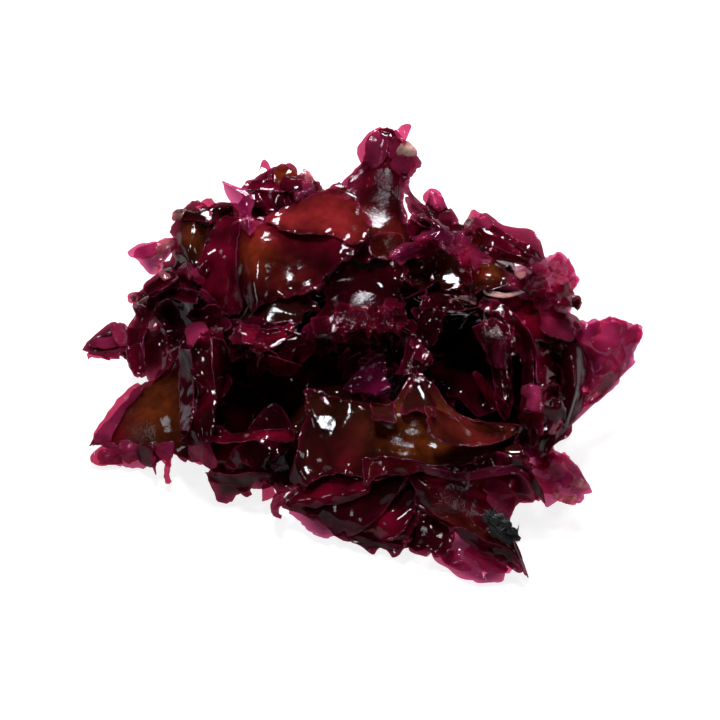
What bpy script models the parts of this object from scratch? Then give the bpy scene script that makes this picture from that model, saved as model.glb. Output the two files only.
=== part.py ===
"""A heap of wet dulse: thin red fronds of one seaweed, dropped on a table and lying over each other.

Every frond is a lofted sheet. Its rails are curves that run along the frond, and a spline across
the rails makes the surface. The fronds are laid in order: each is raised towards the side that it
faces until it clears all the fronds laid before it, so that it rests on them.
"""
import math
from dataclasses import dataclass

import bmesh
import bpy
import numpy as np
from mathutils import Matrix, Vector
from mathutils.bvhtree import BVHTree

MM = 0.001  # the sizes below are in millimetres

# Driving sizes
SHEET = 0.7  # thickness of a frond
GAP = 0.5  # least distance kept between two fronds
CELL = 6.1  # side of one cell of a frond's mesh
LOBE_LENGTH = 26.0  # along the outline, from lobe to lobe
DENT_LENGTH = 26.0  # from dent to dent
UNDER_REACH = 56.0  # how far the fronds under the top ones reach from the middle of the heap
UNDER_HEIGHT = 17.0  # their height in the middle, before they are laid over each other
HANG_START = 16.0  # distance from the middle at which the hanging fronds leave the crown
CROWN_HEIGHT = 45.0  # and their height there
HEAP_MIDDLE_Y = 4.0  # the heap's middle, behind the origin of the views

HOLDFAST_PLACE = (43.0, -36.5, 4.0)  # right, up and height, before it is set down
HOLDFAST_HALF_SIZES = (7.2, 3.8, 2.4)
HOLDFAST_SLOPE = -38.0  # how far its long side turns from level, in degrees
STUBS = ((0.9, 0.5, 0.4), (1.0, -0.3, 0.3), (0.5, -0.9, 0.5), (-0.9, 0.2, 0.5), (0.1, 0.9, 0.6))

# How a frond is laid
APART = SHEET + GAP  # distance between the middle surfaces of two fronds that touch
FAR = 400.0
PARTS = 3  # steps along a cell's side at which a frond is tested against the others
MOST_ROUNDS = 60
CLEAR_ENOUGH = 0.02
STEEPEST = 0.4  # least cosine used where a frond lies over a steep one

# The sides that a frond can face, as azimuth and elevation in degrees of someone who looks at it.
# Rails are set out as that person sees them: right, up, and the height above the table.
FRONT = (0.0, 40.0)
ABOVE = (0.0, 90.0)
OUTWARD_ELEVATION = 48.0
UNDER_ELEVATION = 78.0

COLOURS = {
    "crimson_frond": (0.115, 0.008, 0.022),
    "brown_frond": (0.150, 0.040, 0.012),
    "magenta_frond": (0.420, 0.030, 0.130),
    "holdfast": (0.030, 0.026, 0.022),
}
WET_ROUGHNESS = 0.22
DULL_ROUGHNESS = 0.75


@dataclass
class Frond:
    """A frond's rails have the same number of points. Lobes and relief are in millimetres."""

    name: str
    rails: list
    slot: str = "crimson_frond"
    faces: tuple = FRONT
    lobes: float = 1.5  # how far the outline wanders
    relief: float = 1.0  # height of the soft dents


def direction(faces):
    """The unit vector towards someone at that azimuth and elevation."""
    azimuth, elevation = (math.radians(angle) for angle in faces)
    level = math.cos(elevation)
    return np.array([math.sin(azimuth) * level, -math.cos(azimuth) * level, math.sin(elevation)])


def seen_from(faces, points):
    """Points given as right, up and height, in x, y and z. Up is at right angles to the view."""
    azimuth, elevation = (math.radians(angle) for angle in faces)
    right, up, height = np.moveaxis(np.asarray(points, float), -1, 0)
    away = (up - height * math.cos(elevation)) / math.sin(elevation)
    x = right * math.cos(azimuth) - away * math.sin(azimuth)
    y = right * math.sin(azimuth) + away * math.cos(azimuth)
    return np.stack([x, y, height], axis=-1)


def spline(points, at):
    """A smooth curve through points, read at places from 0 to 1. Past its ends it goes straight on."""
    last = len(points) - 1
    ends = np.concatenate([[2 * points[0] - points[1]], points, [2 * points[-1] - points[-2]]])
    place = at * last
    first = np.clip(np.floor(place).astype(int), 0, last - 1)
    before, start, end, after = (ends[first + step] for step in range(4))
    t = (place - first)[..., None]
    inside = np.clip(t, 0, 1)
    slope_in, slope_out = (end - before) / 2, (after - start) / 2
    return (
        start * (1 + 2 * inside) * (1 - inside) ** 2
        + end * inside**2 * (3 - 2 * inside)
        + slope_in * (inside * (1 - inside) ** 2 + np.minimum(t, 0))
        + slope_out * (inside**2 * (inside - 1) + np.maximum(t - 1, 0))
    )


def waves(seed, *places, count=5):
    """A smooth irregular wave of about unit height. Each place is a coordinate in wavelengths."""
    rng = np.random.default_rng(seed)
    total = 0.0
    for _ in range(count):
        ways = rng.normal(size=len(places))
        ways *= rng.uniform(0.6, 1.5) / np.linalg.norm(ways)
        phase = rng.uniform(0, 2 * math.pi)
        total = total + np.sin(2 * math.pi * sum(w * p for w, p in zip(ways, places)) + phase)
    return total / math.sqrt(count / 2)


def size_of(net):
    """The mean length and width of a net of points, rails by points."""
    length = np.linalg.norm(np.diff(net, axis=1), axis=2).sum(axis=1).mean()
    width = np.linalg.norm(np.diff(net, axis=0), axis=2).sum(axis=0).mean()
    return length, width


def lofted(frond, seed):
    """The grid of points of the frond's middle surface, before it is laid."""
    net = seen_from(frond.faces, frond.rails)
    length, width = size_of(net)
    rows = max(round(length / CELL), 3) + 1
    columns = max(round(width / CELL), 2) + 1
    s, t = np.meshgrid(np.linspace(0, 1, rows), np.linspace(0, 1, columns), indexing="ij")
    to_end, to_side = 2 * s - 1, 2 * t - 1
    side_lobes = waves(seed, s * length / LOBE_LENGTH, np.sign(to_side) * 3.7)
    end_lobes = waves(seed + 1, t * width / LOBE_LENGTH, np.sign(to_end) * 3.7)
    blunt = 1 - 0.3 * np.abs(to_end) ** 8
    t = 0.5 + to_side * (0.5 * blunt + np.abs(to_side) ** 2 * side_lobes * frond.lobes / width)
    s = s + to_end * np.abs(to_end) ** 2 * end_lobes * frond.lobes / length
    along = spline(np.eye(net.shape[1]), s)
    across = spline(np.eye(net.shape[0]), t)
    points = np.einsum("...j,...i,jic->...c", across, along, net)
    dents = waves(seed + 2, *(np.moveaxis(points, -1, 0) / DENT_LENGTH))
    return points + direction(frond.faces) * (frond.relief * dents)[..., None]


def triangles(rows, columns):
    """Two triangles for each cell of a grid of points."""
    at = np.arange(rows * columns).reshape(rows, columns)
    a, b, c, d = (corner.ravel() for corner in (at[:-1, :-1], at[1:, :-1], at[1:, 1:], at[:-1, 1:]))
    return np.concatenate([np.stack([a, b, c], 1), np.stack([a, c, d], 1)]).tolist()


def between(points, parts):
    """The grid of points with each cell divided into parts both ways, on the triangles of the mesh."""
    rows, columns = points.shape[:2]
    a, b, c, d = points[:-1, :-1], points[1:, :-1], points[1:, 1:], points[:-1, 1:]
    fine = np.empty(((rows - 1) * parts + 1, (columns - 1) * parts + 1, 3))
    for i, j in np.ndindex(parts + 1, parts + 1):
        u, v = i / parts, j / parts
        inside = a + u * (b - a) + v * (c - b) if u >= v else a + v * (d - a) + u * (c - d)
        fine[i::parts, j::parts][: rows - 1, : columns - 1] = inside
    return fine


def neighbours(values):
    """Each value of a grid with its eight neighbours, as nine grids. The edge repeats past itself."""
    rows, columns = values.shape
    padded = np.pad(values, 1, mode="edge")
    return [padded[i : i + rows, j : j + columns] for i in range(3) for j in range(3)]


class Heap:
    """The fronds laid so far, and how a new one is raised clear of them."""

    def __init__(self):
        self.trees = []
        self.corners = []

    def add(self, corners, faces):
        self.trees.append(BVHTree.FromPolygons(corners.tolist(), faces))
        self.corners.append(corners)

    def in_the_way(self, points, towards):
        """The trees and corners of the fronds that these points could touch on their way."""
        across = np.linalg.svd(towards[None])[2][1:]
        seen = points.reshape(-1, 3) @ across.T
        low, high = seen.min(axis=0) - APART, seen.max(axis=0) + APART
        found = []
        for tree, corners in zip(self.trees, self.corners):
            other = corners @ across.T
            if (other.max(axis=0) > low).all() and (other.min(axis=0) < high).all():
                found.append((tree, corners))
        return found

    def shortfall(self, points, towards, others):
        """How far each point has to move along towards to clear the table and these fronds.

        It is negative where the point could move back and still be clear.
        """
        need = (SHEET / 2 - points[..., 2]) / towards[2]
        way = Vector(towards)
        for index in np.ndindex(need.shape):
            point = Vector(points[index])
            for tree, _ in others:
                hit, normal, _, _ = tree.ray_cast(point + way * FAR, -way)
                if hit is not None:
                    apart = APART / max(abs(normal.dot(way)), STEEPEST)
                    need[index] = max(need[index], (hit - point).dot(way) + apart)
                distance = tree.find_nearest(point, APART)[3]
                if distance is not None:
                    need[index] = max(need[index], APART - distance)
        return need

    def poked(self, points, towards, others):
        """How far each point has to move so that no corner of another frond comes through the mesh."""
        rows, columns = points.shape[:2]
        cells = (rows - 1) * (columns - 1)
        mesh = BVHTree.FromPolygons(points.reshape(-1, 3).tolist(), triangles(rows, columns))
        need = np.full((rows, columns), -FAR)
        way = Vector(towards)
        for corner in (Vector(corner) for _, corners in others for corner in corners):
            hit, normal, index, _ = mesh.ray_cast(corner + way * FAR, -way)
            if hit is not None:
                apart = APART / max(abs(normal.dot(way)), STEEPEST)
                row, column = divmod(index % cells, columns - 1)
                cell = need[row : row + 2, column : column + 2]
                np.maximum(cell, (corner - hit).dot(way) + apart, out=cell)
        return need

    def needed(self, points, towards, others):
        """How far each point of the grid has to move so that all of its mesh is clear."""
        need = self.shortfall(between(points, PARTS), towards, others)
        for _ in range(PARTS):
            need = np.max(neighbours(need), axis=0)
        return np.maximum(need[::PARTS, ::PARTS], self.poked(points, towards, others))

    def lay(self, points, towards):
        """Moves a grid of points back until it touches something, and raises what isn't clear."""
        rows, columns = points.shape[:2]
        others = self.in_the_way(points, towards)
        points = points + min(self.needed(points, towards, others).max(), 0) * towards
        for _ in range(MOST_ROUNDS):
            need = self.needed(points, towards, others)
            if need.max() < CLEAR_ENOUGH:
                break
            lift = np.max(neighbours(np.maximum(need, 0)), axis=0)
            points += np.mean(neighbours(lift), axis=0)[..., None] * towards
        self.add(points.reshape(-1, 3), triangles(rows, columns))
        return points

    def set_down(self, points, towards):
        """How far a stiff thing with these points has to move along towards to be clear."""
        need = self.shortfall(points, towards, self.in_the_way(points, towards))
        return towards * need.max()


def wet_material(slot):
    """The finish of one slot: its colour, wet and shining unless it is the holdfast."""
    material = bpy.data.materials.new(slot)
    material.use_nodes = True
    shader = material.node_tree.nodes["Principled BSDF"]
    shader.inputs["Base Color"].default_value = (*COLOURS[slot], 1)
    shader.inputs["Roughness"].default_value = DULL_ROUGHNESS if slot == "holdfast" else WET_ROUGHNESS
    shader.inputs["Metallic"].default_value = 0
    return material


def add_object(name, mesh, material, collection):
    made = bpy.data.objects.new(name, mesh)
    made.data.materials.append(material)
    collection.objects.link(made)
    return made


def frond_object(frond, points, material, collection):
    """The frond as an open sheet of triangles, with its thickness from Solidify."""
    rows, columns = points.shape[:2]
    mesh = bpy.data.meshes.new(frond.name)
    mesh.from_pydata((points.reshape(-1, 3) * MM).tolist(), [], triangles(rows, columns))
    mesh.shade_smooth()
    made = add_object(frond.name, mesh, material, collection)
    wall = made.modifiers.new("sheet", "SOLIDIFY")
    wall.thickness = SHEET * MM
    wall.offset = 0
    return made


def base_fronds():
    """Four fronds pressed flat on the table, which carry the heap and don't reach each other."""
    left = [
        [(-6, 10, 0), (-30, 24, 0), (-56, 24, 0), (-70, 12, 0)],
        [(-3, -1, 0), (-30, 0, 0), (-58, -3, 0), (-77, -6, 0)],
        [(-6, -12, 0), (-30, -25, 0), (-54, -28, 0), (-69, -20, 0)],
    ]
    right = [[(-x, y, z) for x, y, z in rail] for rail in left]
    front = [
        [(-13, -24, 0), (-19, -44, 0), (-12, -62, 0)],
        [(0, -20, 0), (3, -44, 0), (8, -72, 0)],
        [(13, -24, 0), (24, -44, 0), (28, -66, 0)],
    ]
    back = [
        [(-16, 30, 0), (-21, 48, 0), (-14, 64, 0)],
        [(0, 24, 0), (0, 48, 0), (0, 72, 0)],
        [(16, 30, 0), (22, 48, 0), (17, 66, 0)],
    ]
    sides = {"left": left, "right": right, "front": front, "back": back}
    return [
        Frond(f"base_frond_{side}", rails, "brown_frond", ABOVE, lobes=1.5, relief=0)
        for side, rails in sides.items()
    ]


def hanging_frond(name, azimuth, elevation, start, end, half_width, seed, slot="crimson_frond"):
    """A frond that leaves the crown at start and hangs outwards to end, each a radius and a height."""
    faces = (azimuth, elevation)
    tilt = math.radians(elevation)
    middle = HEAP_MIDDLE_Y * math.cos(math.radians(azimuth))
    sideways = HEAP_MIDDLE_Y * math.sin(math.radians(azimuth))
    rails = []
    for side in np.linspace(-1, 1, 4):
        rail = []
        for share in np.linspace(0, 1, 4):
            crease = waves(seed, side * 1.1, share * 0.5)
            radius = start[0] + (end[0] - start[0]) * share + 3.0 * crease * share
            height = start[1] + (end[1] - start[1]) * share**2 + 2.5 * crease
            right = side * half_width * (0.5 + 0.5 * share) + sideways
            up = (middle - radius) * math.sin(tilt) + max(height, 0) * math.cos(tilt)
            rail.append((right, up, max(height, 0)))
        rails.append(rail)
    return Frond(name, rails, slot, faces, lobes=2.5, relief=1.2)


def under_fronds():
    """Fronds under the top ones, which spread from the middle of the heap one after the other."""
    fronds = []
    for number, azimuth in enumerate((20, 200, 110, 290, 335, 155, 245)):
        name = f"under_frond_{number + 1}"
        slot = "brown_frond" if number % 3 == 1 else "crimson_frond"
        start, end = (-10.0, UNDER_HEIGHT), (UNDER_REACH, 3.0)
        fronds.append(hanging_frond(name, azimuth, UNDER_ELEVATION, start, end, 30.0, 60 + number, slot))
    return fronds


def back_fronds():
    """Fronds that hang from the crown down the sides and the back, away from the front."""
    reach = {105: 66.0, 135: 79.0, 168: 76.0, 200: 74.0, 232: 79.0, 262: 66.0}
    fronds = []
    for number, (azimuth, radius) in enumerate(reach.items()):
        name = f"back_frond_{number + 1}"
        slot = "brown_frond" if number % 2 else "crimson_frond"
        start, end = (HANG_START, CROWN_HEIGHT), (radius, 1.0)
        made = hanging_frond(name, azimuth, OUTWARD_ELEVATION, start, end, 27.0, 80 + number, slot)
        fronds.append(made)
    return fronds


def front_fronds():
    """The lowest fronds at the front, from the table up."""
    toe = [
        [(22, -38, 4), (24, -48, 2), (32, -52.5, 1), (38, -54.5, 1)],
        [(30, -38, 6), (33, -45, 4), (38, -50, 3), (43, -52.5, 2)],
        [(40, -36, 7), (44, -42, 6), (47, -46, 4), (50, -49.5, 3)],
    ]
    hem_lobes = [
        [(-22, -29, 8), (-21, -33, 6), (-17, -38, 4), (-12, -41, 2)],
        [(-15, -28, 9), (-14, -33, 7), (-12, -37, 5), (-9, -39, 3)],
        [(-7, -27, 10), (-6, -31, 8), (-5, -35, 6), (-6, -38, 4)],
    ]
    rolled_hem = [
        [(12, -34, 10), (13, -40, 6), (15, -45.5, 3)],
        [(20, -33, 12), (20, -40, 8), (21, -46, 3)],
        [(32, -36, 12), (29, -42, 8), (26, -46.5, 4)],
    ]
    front_panel = [
        [(-7, -27, 15), (-6, -34, 10), (-4, -39, 5), (-1, -41.5, 3)],
        [(6, -22, 18), (5, -30, 12), (6, -38, 6), (7, -42.5, 2)],
        [(21, -21, 18), (18, -30, 12), (15, -38, 7), (13, -44, 2)],
    ]
    right_skirt = [
        [(14, -14, 25), (15, -24, 20), (18, -31, 15), (30, -38, 10), (38, -43, 7), (45, -50, 2)],
        [(28, -14, 25), (28, -24, 20), (28, -30, 16), (34, -35, 12), (42, -41, 8), (48, -49.5, 2.5)],
        [(42, -14, 24), (42, -23, 19), (40, -29, 16), (42, -34, 12), (46, -40, 8), (50, -50, 3)],
        [(54, -22, 16), (54, -28, 11), (48.5, -29, 11), (46, -35, 10), (48.5, -42, 7), (51.5, -50, 3)],
    ]
    left_skirt = [
        [(-26, -27, 12), (-14, -19, 18), (-2, -15, 23), (14, -14, 24)],
        [(-26, -29.5, 11), (-14, -26, 15), (-2, -24, 18), (14, -20, 21)],
        [(-25, -32, 9), (-14, -35, 8), (-5, -38.5, 6), (14, -25, 16)],
    ]
    right_tail = [
        [(46, -8, 24), (58, -12, 18), (66, -14.5, 14), (70, -21, 10)],
        [(48, -14, 20), (60, -19, 15), (67, -21, 11), (71.5, -25, 7)],
        [(50, -20, 16), (56, -27, 10), (62, -28.5, 7), (67, -30, 5)],
    ]
    return [
        Frond("toe_frond", toe, "magenta_frond"),
        Frond("hem_frond", hem_lobes, "magenta_frond", lobes=2.0),
        Frond("rolled_hem_frond", rolled_hem, lobes=1.0),
        Frond("front_panel_frond", front_panel, lobes=0.8),
        Frond("right_skirt_frond", right_skirt, lobes=1.0),
        Frond("left_skirt_frond", left_skirt, lobes=0.6, relief=0.6),
        Frond("right_tail_frond", right_tail, "magenta_frond", lobes=2.0),
    ]


def left_fronds():
    """The fronds of the left flank, from the table up."""
    left_toe = [
        [(-64, -8, 9), (-76, -10, 5), (-86, -13, 3)],
        [(-64, -12, 6), (-76, -14, 4), (-87.5, -16, 2)],
        [(-64, -16, 4), (-75, -17.5, 2), (-83, -18.5, 1)],
    ]
    left_flap = [
        [(-49, -18, 12), (-48, -24, 7), (-46.5, -30, 2)],
        [(-43, -18, 13), (-42, -23, 9), (-41.5, -28.5, 4)],
        [(-36, -18, 13), (-36, -23, 9), (-37.5, -26.5, 5)],
    ]
    left_wing = [
        [(-54, 20, 30), (-64, 13, 24), (-74, 8, 17), (-84, -3, 8), (-88.5, -10, 4)],
        [(-54, 6, 25), (-63, 0, 20), (-72, -4, 14), (-80, -7, 8), (-86, -10.5, 4)],
        [(-53, -12, 14), (-60, -14, 10), (-68, -14, 8), (-76, -13, 6), (-83, -12, 4)],
    ]
    lower_left = [
        [(-57, -6, 20), (-45, -6, 24), (-35, -5, 26), (-20, -5, 27)],
        [(-56, -11, 16), (-46, -13, 18), (-36, -14, 19), (-21, -15, 20)],
        [(-51, -20, 9), (-42, -21, 10), (-35, -23, 9), (-30, -21, 10)],
    ]
    left_panel = [
        [(-60, 24, 32), (-58, 12, 28), (-57, 2, 24), (-57, -7, 19)],
        [(-52, 24, 36), (-51, 12, 33), (-50, 2, 29), (-50, -8, 22)],
        [(-45, 21, 37), (-44, 10, 34), (-44, 2, 30), (-45, -6, 24)],
    ]
    left_tip = [
        [(-62, 28, 30), (-72, 28, 24), (-80, 27.5, 19), (-88, 23.5, 16)],
        [(-62, 22, 28), (-72, 20, 22), (-81, 21, 17), (-90, 19, 14)],
        [(-64, 12, 24), (-74, 10, 17), (-78, 17, 16), (-86, 16.5, 14)],
    ]
    arch = [
        [(-77, 18, 18), (-76.5, 26, 22), (-72, 33.5, 28), (-64, 39, 34), (-54, 39, 38)],
        [(-71, 16, 20), (-71, 25, 23), (-67.5, 31, 28), (-63, 36, 33), (-53, 33, 37)],
    ]
    finger = [
        [(-76, 37, 28), (-70, 40, 31), (-60, 45, 38), (-50, 44, 42)],
        [(-75, 34, 27), (-68, 37, 31), (-60, 40, 37), (-50, 37, 40)],
    ]
    pink_triangle = [
        [(-76, 52, 36), (-68, 54, 40), (-59, 57, 45)],
        [(-72, 47, 36), (-67, 49, 40), (-60, 53, 44)],
        [(-68, 42.5, 36), (-65.5, 45, 38), (-61, 47, 42)],
    ]
    left_shoulder = [
        [(-61.5, 63.5, 45), (-60.5, 56, 43), (-60, 50, 41), (-57, 44, 40)],
        [(-53, 67, 50), (-53, 58, 49), (-54, 50, 46), (-54, 42, 43)],
        [(-41, 68, 53), (-44, 60, 52), (-47, 50, 49), (-50, 41, 45)],
    ]
    left_crumple = [
        [(-40, 28, 40), (-30, 29, 42), (-20, 30, 43)],
        [(-40, 20, 37), (-31, 20, 39), (-22, 21, 40)],
        [(-38, 13, 33), (-30, 14, 35), (-22, 14, 35)],
    ]
    return [
        Frond("left_toe_frond", left_toe, "magenta_frond", lobes=2.0),
        Frond("left_flap_frond", left_flap, lobes=0.8),
        Frond("left_wing_frond", left_wing, "brown_frond"),
        Frond("left_tip_frond", left_tip, lobes=2.0),
        Frond("arch_frond", arch, lobes=0.5, relief=0.4),
        Frond("finger_frond", finger, lobes=0.5, relief=0.5),
        Frond("pink_triangle_frond", pink_triangle, "magenta_frond", lobes=0.5, relief=0.5),
        Frond("left_shoulder_frond", left_shoulder, "brown_frond"),
        Frond("left_crumple_frond", left_crumple, relief=2.0),
        Frond("lower_left_frond", lower_left),
        Frond("left_panel_frond", left_panel),
    ]


def right_fronds():
    """The fronds of the right flank."""
    right_fan = [
        [(64, 30, 30), (72, 28, 26), (80, 31, 24), (86, 27, 21), (90, 28.5, 20)],
        [(64, 16, 26), (72, 17, 22), (79, 19, 19), (85, 19, 17), (88.5, 20, 16)],
        [(60, -9, 14), (66, -4, 12), (72, 3, 12), (80, 7.5, 12), (86, 12, 13)],
    ]
    right_wall = [
        [(58, 24, 36), (59, 14, 32), (60, 4, 27), (60, -8, 20)],
        [(66, 24, 33), (67, 14, 28), (66, 4, 23), (61, -8, 18)],
        [(72, 22, 28), (71.5, 12, 24), (69, 2, 19), (62, -9, 16)],
    ]
    right_panel = [
        [(50, 26, 40), (50, 14, 36), (50, 2, 31), (51, -8, 25)],
        [(55, 25, 39), (55, 13, 35), (55, 2, 30), (55, -9, 23)],
        [(62, 22, 36), (60, 12, 32), (60, 2, 27), (59, -8, 21)],
    ]
    brown_leaf = [
        [(29, 49, 46), (30, 42, 43), (33, 37, 40)],
        [(38, 50, 48), (38, 44, 46), (36, 39, 42)],
        [(47, 48, 46), (48, 43, 43), (46, 40, 41)],
    ]
    right_sheet = [
        [(37, 41, 45), (48, 40, 45), (58, 38, 41), (66, 34, 35)],
        [(38, 35, 44), (48, 34, 44), (58, 30, 40), (69, 28, 33)],
        [(38, 29, 42), (46, 28, 42), (54, 22, 37), (64, 19, 31)],
    ]
    lace = [
        [(48, 48, 43), (56, 49, 41), (62, 50, 39), (66, 49, 37)],
        [(50, 43, 43), (57, 43, 41), (63, 43, 38), (68, 42, 35)],
        [(50, 38, 41), (57, 37, 40), (62, 36, 37), (67, 35, 33)],
    ]
    right_ridge = [
        [(31, 58, 48), (36, 64.5, 52), (45, 58, 50), (53, 54.5, 46), (58.5, 47.5, 41)],
        [(30, 53, 47), (38, 56, 50), (46, 53, 48), (52, 50, 44), (57, 47, 40)],
        [(30, 49, 45), (38, 50, 47), (46, 48, 45), (52, 47, 42), (56, 45, 40)],
    ]
    hanging_leaf = [
        [(34, 25, 40), (38, 16, 36), (41, 8, 33), (42, 0, 29)],
        [(40, 28, 42), (42, 20, 39), (44, 10, 34), (45, -1, 29)],
        [(47, 26, 41), (47, 20, 39), (47, 10, 34), (47.5, 2, 30)],
    ]
    return [
        Frond("right_fan_frond", right_fan, "magenta_frond", lobes=2.0),
        Frond("right_wall_frond", right_wall, lobes=0.8),
        Frond("right_panel_frond", right_panel),
        Frond("right_sheet_frond", right_sheet),
        Frond("brown_leaf_frond", brown_leaf, "brown_frond"),
        Frond("lace_frond", lace, "magenta_frond", lobes=2.0, relief=1.5),
        Frond("right_ridge_frond", right_ridge),
        Frond("hanging_leaf_frond", hanging_leaf, lobes=2.0),
    ]


def crown_fronds():
    """The fronds of the crown and the middle, which lie over the flanks."""
    top_left = [
        [(-44, 64, 50), (-42, 68, 52), (-37, 74, 55), (-31, 78.5, 57)],
        [(-32, 61, 51), (-31, 67, 54), (-28, 73, 57), (-25, 79, 59)],
        [(-18, 61, 51), (-15, 66, 54), (-14, 70, 56), (-19, 78, 58)],
    ]
    crest = [
        [(-5, 50, 48), (-8, 61, 54), (-5, 72, 59), (0, 82, 66), (3, 91, 71)],
        [(6, 47.5, 48), (6, 60, 55), (7, 72, 61), (7, 83, 68), (9, 90, 72)],
        [(20, 49, 47), (15, 59, 53), (13, 70, 59), (16, 79, 65), (15, 87, 70)],
    ]
    crest_right = [
        [(13, 58, 50), (14, 64, 53), (18, 69.5, 55), (21, 72, 57)],
        [(20, 55, 50), (22, 60, 52), (24, 65, 54), (25.5, 69, 56)],
        [(28, 53, 48), (29, 57, 50), (30, 60, 51), (30, 63, 52)],
    ]
    centre_tongue = [
        [(-16, 48, 44), (-16, 36, 43), (-15, 26, 41), (-14, 18, 38)],
        [(-6, 53, 47), (-6, 39, 46), (-5, 28, 44), (-6, 19, 40)],
        [(6, 54, 47), (7, 40, 45), (6, 30, 42), (3, 21, 39)],
        [(15, 52, 44), (15, 39, 42), (13, 29, 40), (9, 20, 37)],
    ]
    petals = [
        [(8, 52, 49), (18, 55, 50), (25, 56, 50), (31, 55.5, 49)],
        [(12, 46, 47), (20, 49, 48), (26, 51, 48), (31, 51, 46)],
    ]
    mantle = [
        [(-48, 60, 54), (-51, 50, 51), (-52, 42, 47), (-46, 31, 42)],
        [(-43, 61, 55), (-43, 50, 50), (-43, 40, 44), (-42, 30.5, 40)],
        [(-36, 60, 57), (-36, 52, 56), (-36, 42, 51), (-36, 32, 45)],
        [(-22, 64, 57), (-22, 56, 54), (-22, 48, 51), (-22, 37, 47)],
        [(-12, 70, 59), (-10, 61, 56), (-11, 54, 53), (-12, 43, 49)],
        [(-6, 73, 60), (-2, 66, 58), (1, 59, 55), (3, 54, 52)],
    ]
    spike = [
        [(-38, 57, 57), (-40, 61, 59), (-42, 66, 61), (-46, 73, 64)],
        [(-34, 59, 57), (-36, 63, 59), (-37, 68, 61), (-45, 74, 64)],
    ]
    curl_left = [
        [(-3, 4, 36), (0, 9, 38), (2, 15, 40)],
        [(2, 4, 36), (5, 10, 39), (6, 17, 41)],
        [(7, 4, 36), (9, 9, 38), (9, 15, 40)],
    ]
    curl_middle = [
        [(10, 9, 37), (11, 14, 40), (11, 20, 42)],
        [(14, 8, 38), (15, 14, 41), (16, 22, 43)],
        [(19, 9, 37), (20, 14, 39), (20, 20, 41)],
    ]
    curl_right = [
        [(13, 25, 41), (16, 30, 43), (18, 36, 44)],
        [(18, 23, 41), (21, 29, 43), (22, 36, 44)],
        [(23, 22, 39), (26, 28, 41), (26, 34, 42)],
    ]
    apron = [
        [(-20, 10, 35), (-7, 5, 35), (7, 3, 34), (18, 9.5, 36), (31, -1, 31), (48, -4.5, 28)],
        [(-18, 0, 32), (-7, -3, 32), (6, -4, 32), (20, -4, 32), (34, -7, 28), (50, -9, 26)],
        [(-22, -12, 25), (-8, -12, 27), (7, -12, 28), (22, -13, 27), (37, -12, 25), (52, -13, 23)],
        [(-27, -29, 12), (-12, -22, 20), (4, -20, 22), (22, -18, 22), (39, -18, 22), (55, -21, 18)],
    ]
    apron_lip = [
        [(17, -16, 25), (30, -17, 24), (42, -14, 25), (50, -15, 23), (56, -23, 15)],
        [(16, -19, 22), (30, -20.5, 20), (42, -20, 20), (50, -21, 16), (57, -29, 8)],
    ]
    return [
        Frond("top_left_frond", top_left, lobes=2.0, relief=1.5),
        Frond("centre_tongue_frond", centre_tongue),
        Frond("crest_frond", crest, lobes=1.0),
        Frond("crest_right_frond", crest_right, lobes=2.0),
        Frond("petal_frond", petals, "magenta_frond", lobes=2.0),
        Frond("mantle_frond", mantle, lobes=0.5, relief=0.6),
        Frond("spike_frond", spike, "magenta_frond", lobes=0.3, relief=0.3),
        Frond("curl_right_frond", curl_right, lobes=2.0, relief=1.5),
        Frond("curl_middle_frond", curl_middle, lobes=2.0, relief=1.5),
        Frond("apron_frond", apron, "brown_frond", lobes=1.0, relief=0.8),
        Frond("curl_left_frond", curl_left, "magenta_frond", lobes=2.0, relief=1.5),
        Frond("apron_lip_frond", apron_lip, lobes=0.5, relief=0.5),
    ]


def holdfast_object(heap, material, collection):
    """The gnarled holdfast: a flattened lump with stubs, on the frond at the right of the front."""
    towards = direction(FRONT)
    across = np.array([1.0, 0.0, 0.0])
    up = np.cross(towards, across)
    mesh = bmesh.new()
    bmesh.ops.create_icosphere(mesh, subdivisions=3, radius=1.0)
    unit = np.array([vertex.co for vertex in mesh.verts])
    swell = 1 + 0.14 * waves(5, *(unit.T * 1.1))
    for stub in STUBS:
        swell += 0.45 * np.exp((unit @ (np.array(stub) / np.linalg.norm(stub)) - 1) * 18)
    along, beside, out = (unit * swell[:, None] * HOLDFAST_HALF_SIZES).T
    slope = math.radians(HOLDFAST_SLOPE)
    right = along * math.cos(slope) - beside * math.sin(slope)
    upwards = along * math.sin(slope) + beside * math.cos(slope)
    corners = np.stack([right, upwards, out], axis=1) @ [across, up, towards]
    corners += seen_from(FRONT, HOLDFAST_PLACE)
    corners += heap.set_down(corners[:, None], towards)
    for vertex, corner in zip(mesh.verts, corners):
        vertex.co = corner * MM
    data = bpy.data.meshes.new("holdfast")
    mesh.to_mesh(data)
    mesh.free()
    return add_object("holdfast", data, material, collection)


def centre_on_footprint(objects):
    """Moves every object so that the origin is under the middle of the heap's box."""
    bpy.context.view_layer.update()
    graph = bpy.context.evaluated_depsgraph_get()
    corners = np.array([corner for made in objects for corner in made.evaluated_get(graph).bound_box])
    low, high = corners.min(axis=0), corners.max(axis=0)
    shift = -Vector(((low[0] + high[0]) / 2, (low[1] + high[1]) / 2, low[2]))
    for made in objects:
        made.data.transform(Matrix.Translation(shift))


def main():
    for old in list(bpy.data.objects):
        bpy.data.objects.remove(old)
    collection = bpy.data.collections.new("dulse")
    bpy.context.scene.collection.children.link(collection)
    materials = {slot: wet_material(slot) for slot in COLOURS}
    fronds = base_fronds() + under_fronds() + back_fronds()
    fronds += front_fronds() + left_fronds() + right_fronds() + crown_fronds()
    heap = Heap()
    objects = []
    for number, frond in enumerate(fronds):
        points = heap.lay(lofted(frond, 100 + 10 * number), direction(frond.faces))
        objects.append(frond_object(frond, points, materials[frond.slot], collection))
    objects.append(holdfast_object(heap, materials["holdfast"], collection))
    centre_on_footprint(objects)


main()
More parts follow.
